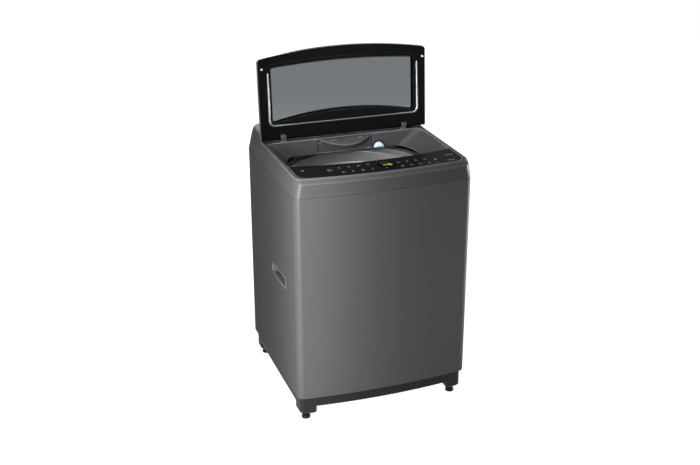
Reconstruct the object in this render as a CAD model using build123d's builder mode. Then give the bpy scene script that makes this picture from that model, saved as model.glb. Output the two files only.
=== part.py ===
from build123d import *
import os
from math import atan2, cos, degrees, hypot, radians, sin, sqrt

os.makedirs("parts", exist_ok=True)

# Top load washing machine, lid open. Millimetres: X right, Y back, Z up from the floor.

# Fits
running_gap = 0.05  # radial, turning fits
slip_gap = 0.3  # faces that slide or sit beside each other
seat_gap = 0.1  # pieces let into one another and fixed
cut_over = 2.0  # how far a cut runs past the faces it opens
hex_sides = 6

# Cabinet
cabinet_width = 690.0
cabinet_depth = 644.0  # along the side walls
cabinet_height = 809.0
floor_clearance = 106.0
front_bow = 23.0  # middle of the front ahead of its corners
corner_radius = 28.0
sheet = 0.8
rear_flange = 60.0
least_radius = 4.0

# Rear panel: its pressed bulge stands out as far as the front is bowed
rear_margin = 33.0
rear_lap = 4.0
bulge_depth = front_bow - sheet
bulge_margin_x = 120.0
bulge_margin_z = 110.0
bulge_radius = 30.0
bulge_draft = 25.0
screw_rows = 5
screw_inset = 12.0
screw_end_margin = 40.0
screw_head_radius = 5.0
screw_head = 2.5
screw_radius = 2.0
screw_length = 8.0

# Carry grips in the side walls
grip_length = 184.0
grip_height = 44.0
grip_y = -100.0
grip_above_edge = 424.0
grip_depth = 30.0
grip_wall = 2.5
grip_lip = 4.0
grip_proud = 1.0

# Base, legs and feet
skirt_inset = 12.0
skirt_wall = 5.0
skirt_drop = 44.0
base_shelf = 5.0
base_rise = 24.0
leg_size = 62.0
leg_bottom = 28.0
leg_chamfer = 9.0
pump_floor = 4.0
pump_floor_margin_x = 95.0
pump_floor_margin_y = 35.5
foot_inset = 42.0
foot_radius = 17.0
foot_pad = 11.0
foot_rim = 3.0
stud_radius = 6.0
stud_length = 62.0
stud_bore_depth = 60.0
nut_across = 19.0
nut_height = 7.0

# Top cover
seam_gap = 1.2
cover_wall = 3.0
crease_height = 51.0  # seam to the crease round the cover
crease_side = 6.0
crease_front = 3.0
crease_radius = 36.0
side_draft = 0.28
front_draft = 0.6
cover_back = 8.0
rim_height = 69.0  # seam to the rim
rim_width = 12.0
plate = 4.0
crest_fillet = 3.0
deck_fillet = 18.0
lip_height = 10.0
lip_gap = 0.5
lip_wall = 2.5
lip_root = 5.0
opening_radius = 34.0
splash_radius = 266.0  # round lower edge of the splash wall, about the drum's axis

# Lid and hinge
hinge_from_back = 193.0
lid_thickness = 22.0
lid_seat = 8.0  # lid's underside above the rim when shut
lid_outer_corners = 2
lid_lean = 4.4  # degrees behind upright when open
lid_bow = 30.0
lid_overhang = 6.0
lid_corner = 14.0
lid_edge = 4.0
lid_gap = 5.0
pin_radius = 3.0
pin_grip = 14.0
knuckle_wall = 6.0
knuckle_width = 20.0
knuckle_from_side = 84.0
notch_gap = 3.0
bumper_radius = 4.0
bumper_from_side = 13.0
bumper_from_front = 37.0
bumper_seat = 0.5

# Glass and the raised inner frame round it
window_side = 48.0
window_front = 34.0
window_front_mid = 50.0
window_back = 56.0
window_back_mid = 88.0
window_radius = 10.0
frame_band = 15.0
frame_back = 44.0
frame_front = 12.0
frame_radius = 20.0
frame_corners = 4
frame_proud = 3.0
frame_edge = 1.5
glass_thickness = 4.0
glass_lip = 6.0
lid_skin = 5.0

# Control panel
panel_depth = 121.0
panel_bow = 38.0
panel_margin = 5.0
panel_side = 16.0
panel_radius = 42.0
panel_thickness = 4.5
panel_proud = 0.5
panel_edge = 0.8
panel_overhang = 1.0
display_radius = 36.0
display_x = 25.0
display_thickness = 1.5
board_width = 300.0
board_depth = 76.0
board_height = 18.0

# Detergent drawer and its housing
drawer_half = 110.0
drawer_reach = 150.0
drawer_height = 42.0
drawer_wall = 2.0
drawer_divider_x = 30.0
drawer_above_lip = 8.0
drawer_front = 3.0
handle_low_half = 58.0
handle_reach = 52.0
handle_mid_half = 96.0
handle_mid_reach = 42.0
handle_crown = 10.0
handle_drop = 10.0
housing_wall = 2.5
housing_gap = 2.0
housing_headroom = 6.0
housing_drop = 3.5

# Water fittings
nozzle_gap = 9.0
nozzle_radius = 21.0
nozzle_reach = 17.0
nozzle_round = 9.0
nozzle_above_lip = 6.0
inlet_from_housing = 89.5
inlet_pitch = 48.0
inlet_radius = 13.2
inlet_bore = 9.0
inlet_length = 28.0
inlet_relief = 12.0
inlet_relief_depth = 0.3
inlet_drop = 42.0
valve_width = 36.0
valve_length = 62.0
valve_height = 44.0
outlet_from_pump = 40.0
outlet_z = 150.0
outlet_radius = 15.0
outlet_bore = 12.0
outlet_flange = 24.0
outlet_flange_thickness = 3.0
outlet_inner = 20.0
gland_radius = 9.0
gland_bore = 4.5
gland_flange = 14.0
gland_flange_thickness = 4.0
gland_inner = 12.0

# Tub
tub_room = 33.5
tub_wall = 4.0
tub_floor = 6.0
tub_bottom = 320.0
tub_drop = 25.0  # tub rim below the seam
ring_top = 3.0
ring_lip = 18.0
ring_skirt = 15.0
ring_lap = 3.0
ring_clearance = 7.0

# Drum
drum_gap = 33.0
drum_sheet = 1.0
drum_step = 6.0
drum_lift = 32.0
drum_base_thickness = 4.0
balance_height = 44.0
balance_width = 15.0
balance_drop = 10.0
balance_round = 5.0
filter_depth = 13.0
filter_half = 55.0
filter_height = 150.0
filter_drop = 90.0

# Shafts, bearings and motor
wash_radius = 9.0
spin_radius = 15.0
spin_flange = 60.0
spin_flange_thickness = 6.0
housing_flange = 110.0
housing_flange_thickness = 10.0
hub_radius = 40.0
hub_drop = 75.0
hub_waist = 22.0
upper_bearing_radius = 31.0
upper_bearing_height = 16.0
lower_bearing_radius = 26.0
lower_bearing_height = 15.0
seal_height = 12.0
stator_radius = 98.0
stator_height = 34.0
stator_drop = 18.0
air_gap = 5.0
rotor_wall = 6.0
rotor_floor = 5.0
rotor_floor_gap = 8.0
rotor_nut_across = 30.0
rotor_nut_height = 12.0
shaft_tail = 5.0

# Pulsator
pulsator_radius = 188.0
pulsator_lift = 12.0
pulsator_edge = 6.0
pulsator_dish = 18.0
pulsator_dish_radius = 60.0
pulsator_boss = 38.0
pulsator_boss_radius = 34.0
pulsator_rim_step = 22.0
vane_count = 6
vane_length = 112.0
vane_width = 16.0
vane_height = 30.0
vane_from_axis = 106.0
screw_seat_radius = 12.0
screw_seat_depth = 7.0
pulsator_screw_radius = 10.0
pulsator_screw_head = 5.0
pulsator_screw_shank = 4.0
pulsator_screw_length = 20.0

# Suspension
rod_from_side = 77.0
rod_from_ends = 65.5
rod_radius = 4.0
rod_head_radius = 9.0
rod_head = 10.0
rod_cap_radius = 21.0
rod_cap = 8.0
seat_radius = 15.0
seat_height = 9.0
bracket_thickness = 3.0
bracket_reach = 45.0
bracket_drop = 33.0
lug_lift = 30.0
lug_thickness = 12.0
lug_width = 46.0
lug_end = 22.0
lug_bore = 8.0
spring_length = 110.0
spring_outer = 19.0
spring_inner = 15.5

# Pump and drain bellows
pump_from_neck_x = 35.0
pump_from_neck_y = 22.0
pump_width = 120.0
pump_depth = 90.0
pump_height = 74.0
neck_from_wall = 45.4
neck_angle = 45.0  # degrees from the right towards the back
neck_radius = 20.0
neck_drop = 16.0
neck_bore = 16.0
inlet_neck = 14.0
bellows_wall = 5.0
hose_wall = 3.0

# Small boxes under the cover
lock_width = 16.0
lock_length = 44.0
lock_height = 26.0
lock_from_side = 45.0
sensor_from_side = 100.0
sensor_from_back = 122.0
sensor_radius = 24.0
sensor_height = 22.0
main_board_from_side = 100.0
main_board_from_back = 90.0
main_board_width = 120.0
main_board_depth = 100.0
main_board_height = 36.0
box_fillet = 3.0

# Levels and places worked out from the sizes above
half_width = cabinet_width / 2
half_depth = cabinet_depth / 2
front_y = -half_depth - front_bow
seam_z = floor_clearance + cabinet_height
cover_z = seam_z + seam_gap
crease_z = seam_z + crease_height
rim_z = seam_z + rim_height
ceiling_z = rim_z - plate
housing_top = ceiling_z - housing_drop - housing_wall
drawer_top = housing_top - housing_headroom
drawer_z = drawer_top - drawer_height
splash_z = drawer_z - drawer_above_lip
skirt_z = floor_clearance - skirt_drop
rear_y = half_depth + sheet
rear_half = half_width - rear_margin
rear_height = cabinet_height - 2 * rear_lap
rear_mid_z = floor_clearance + cabinet_height / 2
screw_span_x = 2 * (rear_half - screw_inset)
screw_pitch = (rear_height - 2 * screw_end_margin) / (screw_rows - 1)
grip_z = floor_clearance + grip_above_edge
foot_x = half_width - foot_inset
foot_y = half_depth - foot_inset
crest_half = half_width - crease_side - (rim_z - crease_z) * side_draft
rim_front = crease_front + (rim_z - crease_z) * front_draft
hinge_y = half_depth - hinge_from_back
lid_half_thickness = lid_thickness / 2
hinge_z = rim_z + lid_seat + lid_half_thickness
deck_z = hinge_z + lid_half_thickness
deck_y = hinge_y + lid_half_thickness + lid_gap
deck_ceiling_z = deck_z - cover_wall
cover_rear_y = half_depth - cover_back
knuckle_x = crest_half - knuckle_from_side
knuckle_radius = pin_radius + knuckle_wall
notch_half = knuckle_width / 2 + notch_gap
notch_reach = max(knuckle_radius, lid_half_thickness) + notch_gap
panel_half = crest_half - panel_side
panel_front_mid = front_y + rim_front + panel_margin
panel_front_corner = panel_front_mid + front_bow
panel_back_mid = panel_front_mid + panel_depth
panel_back_corner = panel_back_mid + panel_bow
panel_z = rim_z + panel_proud - panel_thickness
display_y = panel_front_mid + panel_depth / 2
opening_half = crest_half - rim_width
opening_back = hinge_y - lid_half_thickness
splash_back = opening_back + cover_wall
lid_half = crest_half + lid_overhang
lid_reach = hinge_y - panel_back_mid + panel_overhang
tub_y = -front_bow / 2  # midway between the bowed front and the back
tub_axis = Axis((0, tub_y, 0), (0, 0, 1))
tub_plane = Plane(origin=(0, tub_y, 0), x_dir=(1, 0, 0), z_dir=(0, -1, 0))
tub_radius = min(cabinet_width, cabinet_depth + front_bow) / 2 - tub_room
tub_top = seam_z - tub_drop
drum_radius = tub_radius - tub_wall - drum_gap
drum_wall_radius = drum_radius - drum_step
drum_z = tub_bottom + tub_floor + drum_lift
drum_floor_z = drum_z + drum_base_thickness
balance_top = tub_top - balance_drop
balance_z = balance_top - balance_height
pulsator_z = drum_floor_z + pulsator_lift
shaft_top = pulsator_z + pulsator_boss - screw_seat_depth
hub_z = tub_bottom - hub_drop
upper_bearing_z = tub_bottom - upper_bearing_height
stator_z = tub_bottom - housing_flange_thickness - stator_drop - stator_height
rotor_z = hub_z - rotor_floor_gap - rotor_floor
rotor_nut_z = rotor_z - rotor_nut_height
spin_z = rotor_z + rotor_floor + slip_gap
spin_top = drum_z - spin_flange_thickness
rod_x = half_width - rod_from_side
rod_dy = (cabinet_depth + front_bow) / 2 - rod_from_ends
bracket_z = seam_z - bracket_drop
lug_z = tub_bottom + lug_lift
spring_top = lug_z - slip_gap
spring_z = spring_top - spring_length
rod_z = spring_z - rod_cap
bracket_top = bracket_z + bracket_thickness
neck_x = (tub_radius - neck_from_wall) * cos(radians(neck_angle))
neck_y = tub_y + (tub_radius - neck_from_wall) * sin(radians(neck_angle))
neck_z = tub_bottom - neck_drop
pump_x = neck_x + pump_from_neck_x
pump_y = neck_y + pump_from_neck_y
pump_z = floor_clearance + pump_floor
pump_top = pump_z + pump_height
pump_floor_x = pump_x - pump_width / 2 - pump_floor_margin_x
pump_floor_y = pump_y - pump_depth / 2 - pump_floor_margin_y
outlet_x = pump_x + outlet_from_pump
housing_half = drawer_half + housing_gap + housing_wall
housing_back = splash_back + drawer_reach + housing_gap + housing_wall
housing_z = drawer_z - slip_gap - housing_wall
nozzle_x = drawer_half + nozzle_gap + nozzle_radius
inlet_x = -housing_half - inlet_from_housing
inlet_z = deck_z - inlet_drop
valve_back = cover_rear_y - cover_wall
lock_x = lock_from_side - half_width
lock_y = deck_y + cover_wall + deck_fillet
sensor_x = sensor_from_side - half_width
sensor_y = half_depth - sensor_from_back
main_board_x = half_width - main_board_from_side
main_board_y = half_depth - main_board_from_back
lid_plane = Plane(
    origin=(0, hinge_y, hinge_z),
    x_dir=(1, 0, 0),
    z_dir=(0, -cos(radians(lid_lean)), sin(radians(lid_lean))),
)
lid_normal = Axis(lid_plane.origin, lid_plane.z_dir)
corner_sides = {
    "front_left": (-1, -1),
    "front_right": (1, -1),
    "back_left": (-1, 1),
    "back_right": (1, 1),
}


# Outline of the machine seen from above, drawn in from the cabinet's faces
def plan(height, side, front, back, radius):
    half = half_width - side
    corner_y = -half_depth + front
    back_y = half_depth - back
    with BuildSketch(Plane.XY.offset(height)) as outline:
        with BuildLine():
            Polyline((-half, corner_y), (-half, back_y), (half, back_y), (half, corner_y))
            ThreePointArc((half, corner_y), (0, corner_y - front_bow), (-half, corner_y))
        make_face()
        fillet(outline.vertices(), radius)
    return outline.sketch


def even_plan(height, inset):
    return plan(height, inset, inset, inset, max(corner_radius - inset, least_radius))


# Top cover's outline: upright corners at the seam, leaning in above the crease
def cover_plan(height, wall):
    if height < crease_z:
        return even_plan(height, wall)
    rise = height - crease_z
    return plan(
        height,
        crease_side + rise * side_draft + wall,
        crease_front + rise * front_draft + wall,
        cover_back + wall,
        crease_radius - wall,
    )


# Lid opening at the rim, and the round edge that the splash wall runs down to
def opening_plan(height, grow):
    half = opening_half + grow
    back_y = opening_back + grow
    corner_y = panel_back_corner - panel_overhang - grow
    mid_y = panel_back_mid - panel_overhang - grow
    with BuildSketch(Plane.XY.offset(height)) as outline:
        with BuildLine():
            Polyline((-half, corner_y), (-half, back_y), (half, back_y), (half, corner_y))
            ThreePointArc((half, corner_y), (0, mid_y), (-half, corner_y))
        make_face()
        fillet(outline.vertices(), opening_radius + grow)
    return outline.sketch


def splash_plan(height, grow):
    radius = splash_radius + grow
    back_y = opening_back + grow
    corner_y = panel_back_corner - panel_overhang - grow
    mid_y = panel_back_mid - panel_overhang - grow
    back_half = sqrt(radius**2 - (back_y - tub_y) ** 2)
    front_half = sqrt(radius**2 - (corner_y - tub_y) ** 2)
    with BuildSketch(Plane.XY.offset(height)) as outline:
        with BuildLine():
            ThreePointArc((-front_half, corner_y), (-radius, tub_y), (-back_half, back_y))
            Line((-back_half, back_y), (back_half, back_y))
            ThreePointArc((back_half, back_y), (radius, tub_y), (front_half, corner_y))
            ThreePointArc((front_half, corner_y), (0, mid_y), (-front_half, corner_y))
        make_face()
        fillet(outline.vertices(), opening_radius + grow)
    return outline.sketch


def panel_plan(height, shrink):
    half = panel_half - shrink
    front_corner = panel_front_corner + shrink
    front_mid = panel_front_mid + shrink
    back_corner = panel_back_corner - shrink
    back_mid = panel_back_mid - shrink
    with BuildSketch(Plane.XY.offset(height)) as outline:
        with BuildLine():
            ThreePointArc((-half, back_corner), (0, back_mid), (half, back_corner))
            Line((half, back_corner), (half, front_corner))
            ThreePointArc((half, front_corner), (0, front_mid), (-half, front_corner))
            Line((-half, front_corner), (-half, back_corner))
        make_face()
        fillet(outline.vertices().sort_by(Axis.Y)[:2], panel_radius - shrink)
    return outline.sketch


# Outlines on the lid: x across, y up from the hinge axis, the highest corners rounded
def lid_sheet(level, half, low, low_mid, high, high_mid, radius, corners):
    with BuildSketch(lid_plane.offset(level)) as outline:
        with BuildLine():
            Line((-half, low), (-half, high))
            ThreePointArc((-half, high), (0, high_mid), (half, high))
            Line((half, high), (half, low))
            if low_mid == low:
                Line((half, low), (-half, low))
            else:
                ThreePointArc((half, low), (0, low_mid), (-half, low))
        make_face()
        fillet(outline.vertices().sort_by(Axis.Y)[-corners:], radius)
    return outline.sketch


def window_plan(level, grow):
    return lid_sheet(
        level,
        lid_half - window_side + grow,
        window_back - grow,
        window_back_mid - grow,
        lid_reach - lid_bow - window_front + grow,
        lid_reach - window_front_mid + grow,
        window_radius + grow,
        frame_corners,
    )


def frame_plan(level, shrink):
    front_mid = lid_reach - window_front_mid + frame_front - shrink
    front_corner = lid_reach - lid_bow - window_front + frame_front - shrink
    return lid_sheet(
        level,
        lid_half - window_side + frame_band - shrink,
        frame_back + shrink,
        frame_back + shrink,
        front_corner,
        front_mid,
        frame_radius - shrink,
        frame_corners,
    )


# Cabinet shell: one sheet wrapped round the front and sides, flanged at the back
grip_plane = Plane(origin=(0, grip_y, grip_z), x_dir=(0, 1, 0), z_dir=(1, 0, 0))
rear_plane = Plane(origin=(0, half_depth, rear_mid_z), x_dir=(1, 0, 0), z_dir=(0, 1, 0))
with BuildPart() as cabinet_shell:
    extrude(even_plan(floor_clearance, 0), amount=cabinet_height)
    extrude(even_plan(floor_clearance, sheet), amount=cabinet_height, mode=Mode.SUBTRACT)
    with Locations((0, half_depth, rear_mid_z)):
        Box(cabinet_width - 2 * rear_flange, cut_over * 2, cabinet_height, mode=Mode.SUBTRACT)
    with BuildSketch(grip_plane):
        SlotOverall(grip_length, grip_height)
    extrude(amount=half_width + cut_over, both=True, mode=Mode.SUBTRACT)
    with BuildSketch(rear_plane):
        with GridLocations(screw_span_x, screw_pitch, 2, screw_rows):
            Circle(screw_radius + seat_gap)
    extrude(amount=-screw_length, mode=Mode.SUBTRACT)
cabinet_shell.part.label = "cabinet_shell"
export_step(cabinet_shell.part, "parts/cabinet_shell.step")

# Rear panel with its pressed bulge
bulge_half = half_width - bulge_margin_x
bulge_height = cabinet_height - 2 * bulge_margin_z
with BuildPart() as rear_panel:
    with BuildSketch(rear_plane):
        Rectangle(2 * rear_half, rear_height)
    extrude(amount=sheet)
    with BuildSketch(rear_plane.offset(sheet)):
        RectangleRounded(2 * bulge_half, bulge_height, bulge_radius)
    extrude(amount=bulge_depth, taper=bulge_draft)
    with BuildSketch(rear_plane):
        RectangleRounded(2 * (bulge_half - sheet), bulge_height - 2 * sheet, bulge_radius - sheet)
    extrude(amount=bulge_depth, taper=bulge_draft, mode=Mode.SUBTRACT)
    with BuildSketch(rear_plane):
        with GridLocations(screw_span_x, screw_pitch, 2, screw_rows):
            Circle(screw_radius + seat_gap)
        with Locations((outlet_x, rear_mid_z - outlet_z)):
            Circle(outlet_radius + seat_gap)
        with Locations((-outlet_x, rear_mid_z - outlet_z)):
            Circle(gland_radius + seat_gap)
    extrude(amount=sheet, mode=Mode.SUBTRACT)
rear_panel.part.label = "rear_panel"
export_step(rear_panel.part, "parts/rear_panel.step")

with BuildPart() as panel_screws:
    with BuildSketch(rear_plane.offset(sheet)):
        with GridLocations(screw_span_x, screw_pitch, 2, screw_rows):
            Circle(screw_head_radius)
    extrude(amount=screw_head)
    with BuildSketch(rear_plane.offset(sheet)):
        with GridLocations(screw_span_x, screw_pitch, 2, screw_rows):
            Circle(screw_radius)
    extrude(amount=-screw_length)
panel_screws.part.label = "panel_screws"
export_step(panel_screws.part, "parts/panel_screws.step")

# Carry grips: cups let into the side walls, with a thin lip outside
for side_name, side in (("left", -1), ("right", 1)):
    side_plane = Plane(
        origin=(side * half_width, grip_y, grip_z), x_dir=(0, 1, 0), z_dir=(side, 0, 0)
    )
    with BuildPart() as carry_grip:
        with BuildSketch(side_plane):
            SlotOverall(grip_length + 2 * grip_lip, grip_height + 2 * grip_lip)
        extrude(amount=grip_proud)
        with BuildSketch(side_plane):
            SlotOverall(grip_length - 2 * slip_gap, grip_height - 2 * slip_gap)
        extrude(amount=-grip_depth)
        with BuildSketch(side_plane.offset(grip_proud)):
            SlotOverall(
                grip_length - 2 * slip_gap - 2 * grip_wall,
                grip_height - 2 * slip_gap - 2 * grip_wall,
            )
        extrude(amount=grip_wall - grip_depth - grip_proud, mode=Mode.SUBTRACT)
    carry_grip.part.label = f"carry_grip_{side_name}"
    export_step(carry_grip.part, f"parts/carry_grip_{side_name}.step")

# Base: legs, recessed skirt, shelf under the cabinet's edge and a floor for the pump
leg_gap_x = 2 * (half_width - skirt_inset - leg_size)
leg_gap_y = 2 * (half_depth - skirt_inset - leg_size)
leg_rise = floor_clearance - leg_bottom
with BuildPart() as base_legs:
    extrude(even_plan(leg_bottom, skirt_inset), amount=leg_rise)
    with Locations((0, 0, leg_bottom + leg_rise / 2)):
        Box(leg_gap_x, 2 * cabinet_depth, leg_rise, mode=Mode.SUBTRACT)
        Box(2 * cabinet_width, leg_gap_y, leg_rise, mode=Mode.SUBTRACT)
    chamfer(base_legs.edges().group_by(Axis.Z)[0], leg_chamfer)

shelf_inset = sheet + lip_gap
with BuildPart() as base_shelf_ring:
    extrude(even_plan(floor_clearance, shelf_inset), amount=base_rise)
    extrude(
        even_plan(floor_clearance + base_shelf, shelf_inset + skirt_wall),
        amount=base_rise,
        mode=Mode.SUBTRACT,
    )
    extrude(
        even_plan(floor_clearance, skirt_inset + skirt_wall),
        amount=base_shelf,
        mode=Mode.SUBTRACT,
    )

foot_points = [(side * foot_x, end * foot_y) for side, end in corner_sides.values()]
with BuildPart() as base_frame:
    extrude(even_plan(skirt_z, skirt_inset), amount=skirt_drop + base_shelf)
    extrude(
        even_plan(skirt_z, skirt_inset + skirt_wall),
        amount=skirt_drop + base_shelf,
        mode=Mode.SUBTRACT,
    )
    add(base_shelf_ring.part)
    add(base_legs.part)
    with Locations((pump_floor_x, pump_floor_y, floor_clearance)):
        Box(
            half_width - skirt_inset - skirt_wall / 2 - pump_floor_x,
            half_depth - skirt_inset - skirt_wall / 2 - pump_floor_y,
            pump_floor,
            align=(Align.MIN, Align.MIN, Align.MIN),
        )
    with BuildSketch(Plane.XY.offset(leg_bottom)):
        with Locations(*foot_points):
            Circle(stud_radius + running_gap)
    extrude(amount=stud_bore_depth, mode=Mode.SUBTRACT)
base_frame.part.label = "base_frame"
export_step(base_frame.part, "parts/base_frame.step")

with BuildPart() as lock_nuts:
    with BuildSketch(Plane.XY.offset(leg_bottom - nut_height)):
        with Locations(*foot_points):
            RegularPolygon(nut_across / 2, hex_sides, major_radius=False)
            Circle(stud_radius + running_gap, mode=Mode.SUBTRACT)
    extrude(amount=nut_height)
lock_nuts.part.label = "lock_nuts"
export_step(lock_nuts.part, "parts/lock_nuts.step")

for corner, (side, end) in corner_sides.items():
    with BuildPart() as levelling_foot:
        with BuildSketch():
            with Locations((side * foot_x, end * foot_y)):
                Circle(foot_radius)
        extrude(amount=foot_pad)
        chamfer(levelling_foot.edges().group_by(Axis.Z)[-1], foot_rim)
        with BuildSketch(Plane.XY.offset(foot_pad)):
            with Locations((side * foot_x, end * foot_y)):
                Circle(stud_radius)
        extrude(amount=stud_length)
    levelling_foot.part.label = f"levelling_foot_{corner}"
    export_step(levelling_foot.part, f"parts/levelling_foot_{corner}.step")

# Top cover: drafted walls, rear deck, lid opening with splash wall, hinge knuckles
deck_cut = Plane(origin=(0, deck_y, 0), x_dir=(1, 0, 0), z_dir=(0, 1, 0))
with BuildPart() as rear_deck:
    loft([cover_plan(crease_z, 0), cover_plan(deck_z, 0)], ruled=True)
    split(bisect_by=deck_cut, keep=Keep.TOP)
    fillet(rear_deck.edges().group_by(Axis.Z)[-1], deck_fillet)

with BuildPart() as rear_deck_hollow:
    loft([cover_plan(crease_z, cover_wall), cover_plan(deck_ceiling_z, cover_wall)], ruled=True)
    split(bisect_by=deck_cut.offset(cover_wall), keep=Keep.TOP)
    fillet(rear_deck_hollow.edges().group_by(Axis.Z)[-1], deck_fillet - cover_wall)

# Locating lip inside the cabinet's top edge
lip_z = seam_z - lip_height
with BuildPart() as locating_lip:
    extrude(even_plan(lip_z, shelf_inset), amount=lip_height + lip_root)
    extrude(even_plan(lip_z, shelf_inset + lip_wall), amount=lip_height + lip_root, mode=Mode.SUBTRACT)

knuckle_reach = knuckle_width / 2
with BuildPart() as top_cover:
    loft([cover_plan(cover_z, 0), cover_plan(crease_z, 0), cover_plan(rim_z, 0)], ruled=True)
    fillet(top_cover.edges().group_by(Axis.Z)[-1], crest_fillet)
    add(rear_deck.part)
    loft(
        [
            cover_plan(cover_z, cover_wall),
            cover_plan(crease_z, cover_wall),
            cover_plan(ceiling_z, cover_wall),
        ],
        ruled=True,
        mode=Mode.SUBTRACT,
    )
    add(rear_deck_hollow.part, mode=Mode.SUBTRACT)
    extrude(panel_plan(panel_z - plate, -cover_wall), amount=plate)
    loft([splash_plan(splash_z, cover_wall), opening_plan(rim_z, cover_wall)], ruled=True)
    loft([splash_plan(splash_z, 0), opening_plan(rim_z, 0)], ruled=True, mode=Mode.SUBTRACT)
    extrude(panel_plan(panel_z, -seat_gap), amount=panel_thickness + cut_over, mode=Mode.SUBTRACT)
    add(locating_lip.part)
    for side in (-1, 1):
        with BuildSketch(Plane.YZ.offset(side * knuckle_x - knuckle_reach)):
            with Locations((hinge_y, hinge_z)):
                Circle(knuckle_radius)
            with Locations((hinge_y, (hinge_z + ceiling_z) / 2)):
                Rectangle(2 * knuckle_radius, hinge_z - ceiling_z)
            with Locations((hinge_y, hinge_z)):
                Circle(pin_radius + running_gap, mode=Mode.SUBTRACT)
        extrude(amount=knuckle_width)
    with Locations((0, opening_back, drawer_z - slip_gap)):
        Box(
            2 * (drawer_half + housing_gap),
            2 * cut_over + 2 * cover_wall,
            ceiling_z - drawer_z + slip_gap,
            align=(Align.CENTER, Align.CENTER, Align.MIN),
            mode=Mode.SUBTRACT,
        )
    with BuildSketch(Plane(origin=(0, cover_rear_y, inlet_z), x_dir=(1, 0, 0), z_dir=(0, 1, 0))):
        with Locations((inlet_x, 0), (inlet_x + inlet_pitch, 0)):
            Circle(inlet_radius + seat_gap)
    extrude(amount=cover_wall + cut_over, both=True, mode=Mode.SUBTRACT)
top_cover.part.label = "top_cover"
export_step(top_cover.part, "parts/top_cover.step")

# Control panel, its round display window and the board under the plate
with BuildPart() as control_panel:
    extrude(panel_plan(panel_z, 0), amount=panel_thickness)
    fillet(control_panel.edges().group_by(Axis.Z)[-1], panel_edge)
    with BuildSketch(Plane.XY.offset(rim_z + panel_proud - display_thickness)):
        with Locations((display_x, display_y)):
            Circle(display_radius + seat_gap)
    extrude(amount=panel_thickness, mode=Mode.SUBTRACT)
control_panel.part.label = "control_panel"
export_step(control_panel.part, "parts/control_panel.step")

with BuildPart() as display_window:
    with BuildSketch(Plane.XY.offset(rim_z + panel_proud - display_thickness)):
        with Locations((display_x, display_y)):
            Circle(display_radius)
    extrude(amount=display_thickness)
display_window.part.label = "display_window"
export_step(display_window.part, "parts/display_window.step")

with BuildPart() as control_board:
    with Locations((0, display_y, panel_z - plate)):
        Box(
            board_width,
            board_depth,
            board_height,
            align=(Align.CENTER, Align.CENTER, Align.MAX),
        )
    fillet(control_board.edges().filter_by(Axis.Z), box_fillet)
control_board.part.label = "control_board"
export_step(control_board.part, "parts/control_board.step")

# Lid frame: a plate with a round hinge edge, a window and a seat for the inner frame
frame_level = lid_skin - lid_half_thickness
glass_top = frame_level + glass_thickness
with BuildPart() as lid_plate:
    extrude(
        lid_sheet(
            -lid_half_thickness,
            lid_half,
            0,
            0,
            lid_reach - lid_bow,
            lid_reach,
            lid_corner,
            lid_outer_corners,
        ),
        amount=lid_thickness,
    )
    outer_edges = lid_plate.edges().group_by(lid_normal)[0]
    fillet(outer_edges.sort_by(Axis.Z)[1:], lid_edge)

with BuildPart() as lid_frame:
    add(lid_plate.part)
    with BuildSketch(Plane.YZ.offset(-lid_half)):
        with Locations((hinge_y, hinge_z)):
            Circle(lid_half_thickness)
    extrude(amount=2 * lid_half)
    extrude(frame_plan(frame_level, 0), amount=lid_thickness, mode=Mode.SUBTRACT)
    extrude(window_plan(frame_level, -glass_lip), amount=-lid_thickness, mode=Mode.SUBTRACT)
    with BuildSketch(lid_plane):
        with Locations((-knuckle_x, 0), (knuckle_x, 0)):
            Rectangle(2 * notch_half, 2 * notch_reach)
    extrude(amount=lid_thickness, both=True, mode=Mode.SUBTRACT)
    for side in (-1, 1):
        with BuildSketch(Plane.YZ.offset(side * knuckle_x - notch_half - pin_grip)):
            with Locations((hinge_y, hinge_z)):
                Circle(pin_radius + running_gap)
        extrude(amount=2 * (notch_half + pin_grip), mode=Mode.SUBTRACT)
lid_frame.part.label = "lid_frame"
export_step(lid_frame.part, "parts/lid_frame.step")

with BuildPart() as lid_glass:
    extrude(frame_plan(frame_level, slip_gap), amount=glass_thickness)
lid_glass.part.label = "lid_glass"
export_step(lid_glass.part, "parts/lid_glass.step")

with BuildPart() as lid_inner_frame:
    extrude(
        frame_plan(glass_top, slip_gap),
        amount=lid_half_thickness + frame_proud - glass_top,
    )
    fillet(lid_inner_frame.edges().group_by(lid_normal)[-1], frame_edge)
    extrude(window_plan(glass_top, 0), amount=lid_thickness, mode=Mode.SUBTRACT)
lid_inner_frame.part.label = "lid_inner_frame"
export_step(lid_inner_frame.part, "parts/lid_inner_frame.step")

bumper_x = lid_half - bumper_from_side
bumper_y = lid_reach - lid_bow - bumper_from_front
with BuildPart() as lid_bumpers:
    with BuildSketch(lid_plane.offset(lid_half_thickness)):
        with Locations((-bumper_x, bumper_y), (bumper_x, bumper_y)):
            Circle(bumper_radius)
    extrude(amount=lid_seat - bumper_seat)
lid_bumpers.part.label = "lid_bumpers"
export_step(lid_bumpers.part, "parts/lid_bumpers.step")

with BuildPart() as hinge_pins:
    for side in (-1, 1):
        with BuildSketch(Plane.YZ.offset(side * knuckle_x - notch_half - pin_grip)):
            with Locations((hinge_y, hinge_z)):
                Circle(pin_radius)
        extrude(amount=2 * (notch_half + pin_grip))
hinge_pins.part.label = "hinge_pins"
export_step(hinge_pins.part, "parts/hinge_pins.step")

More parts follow.
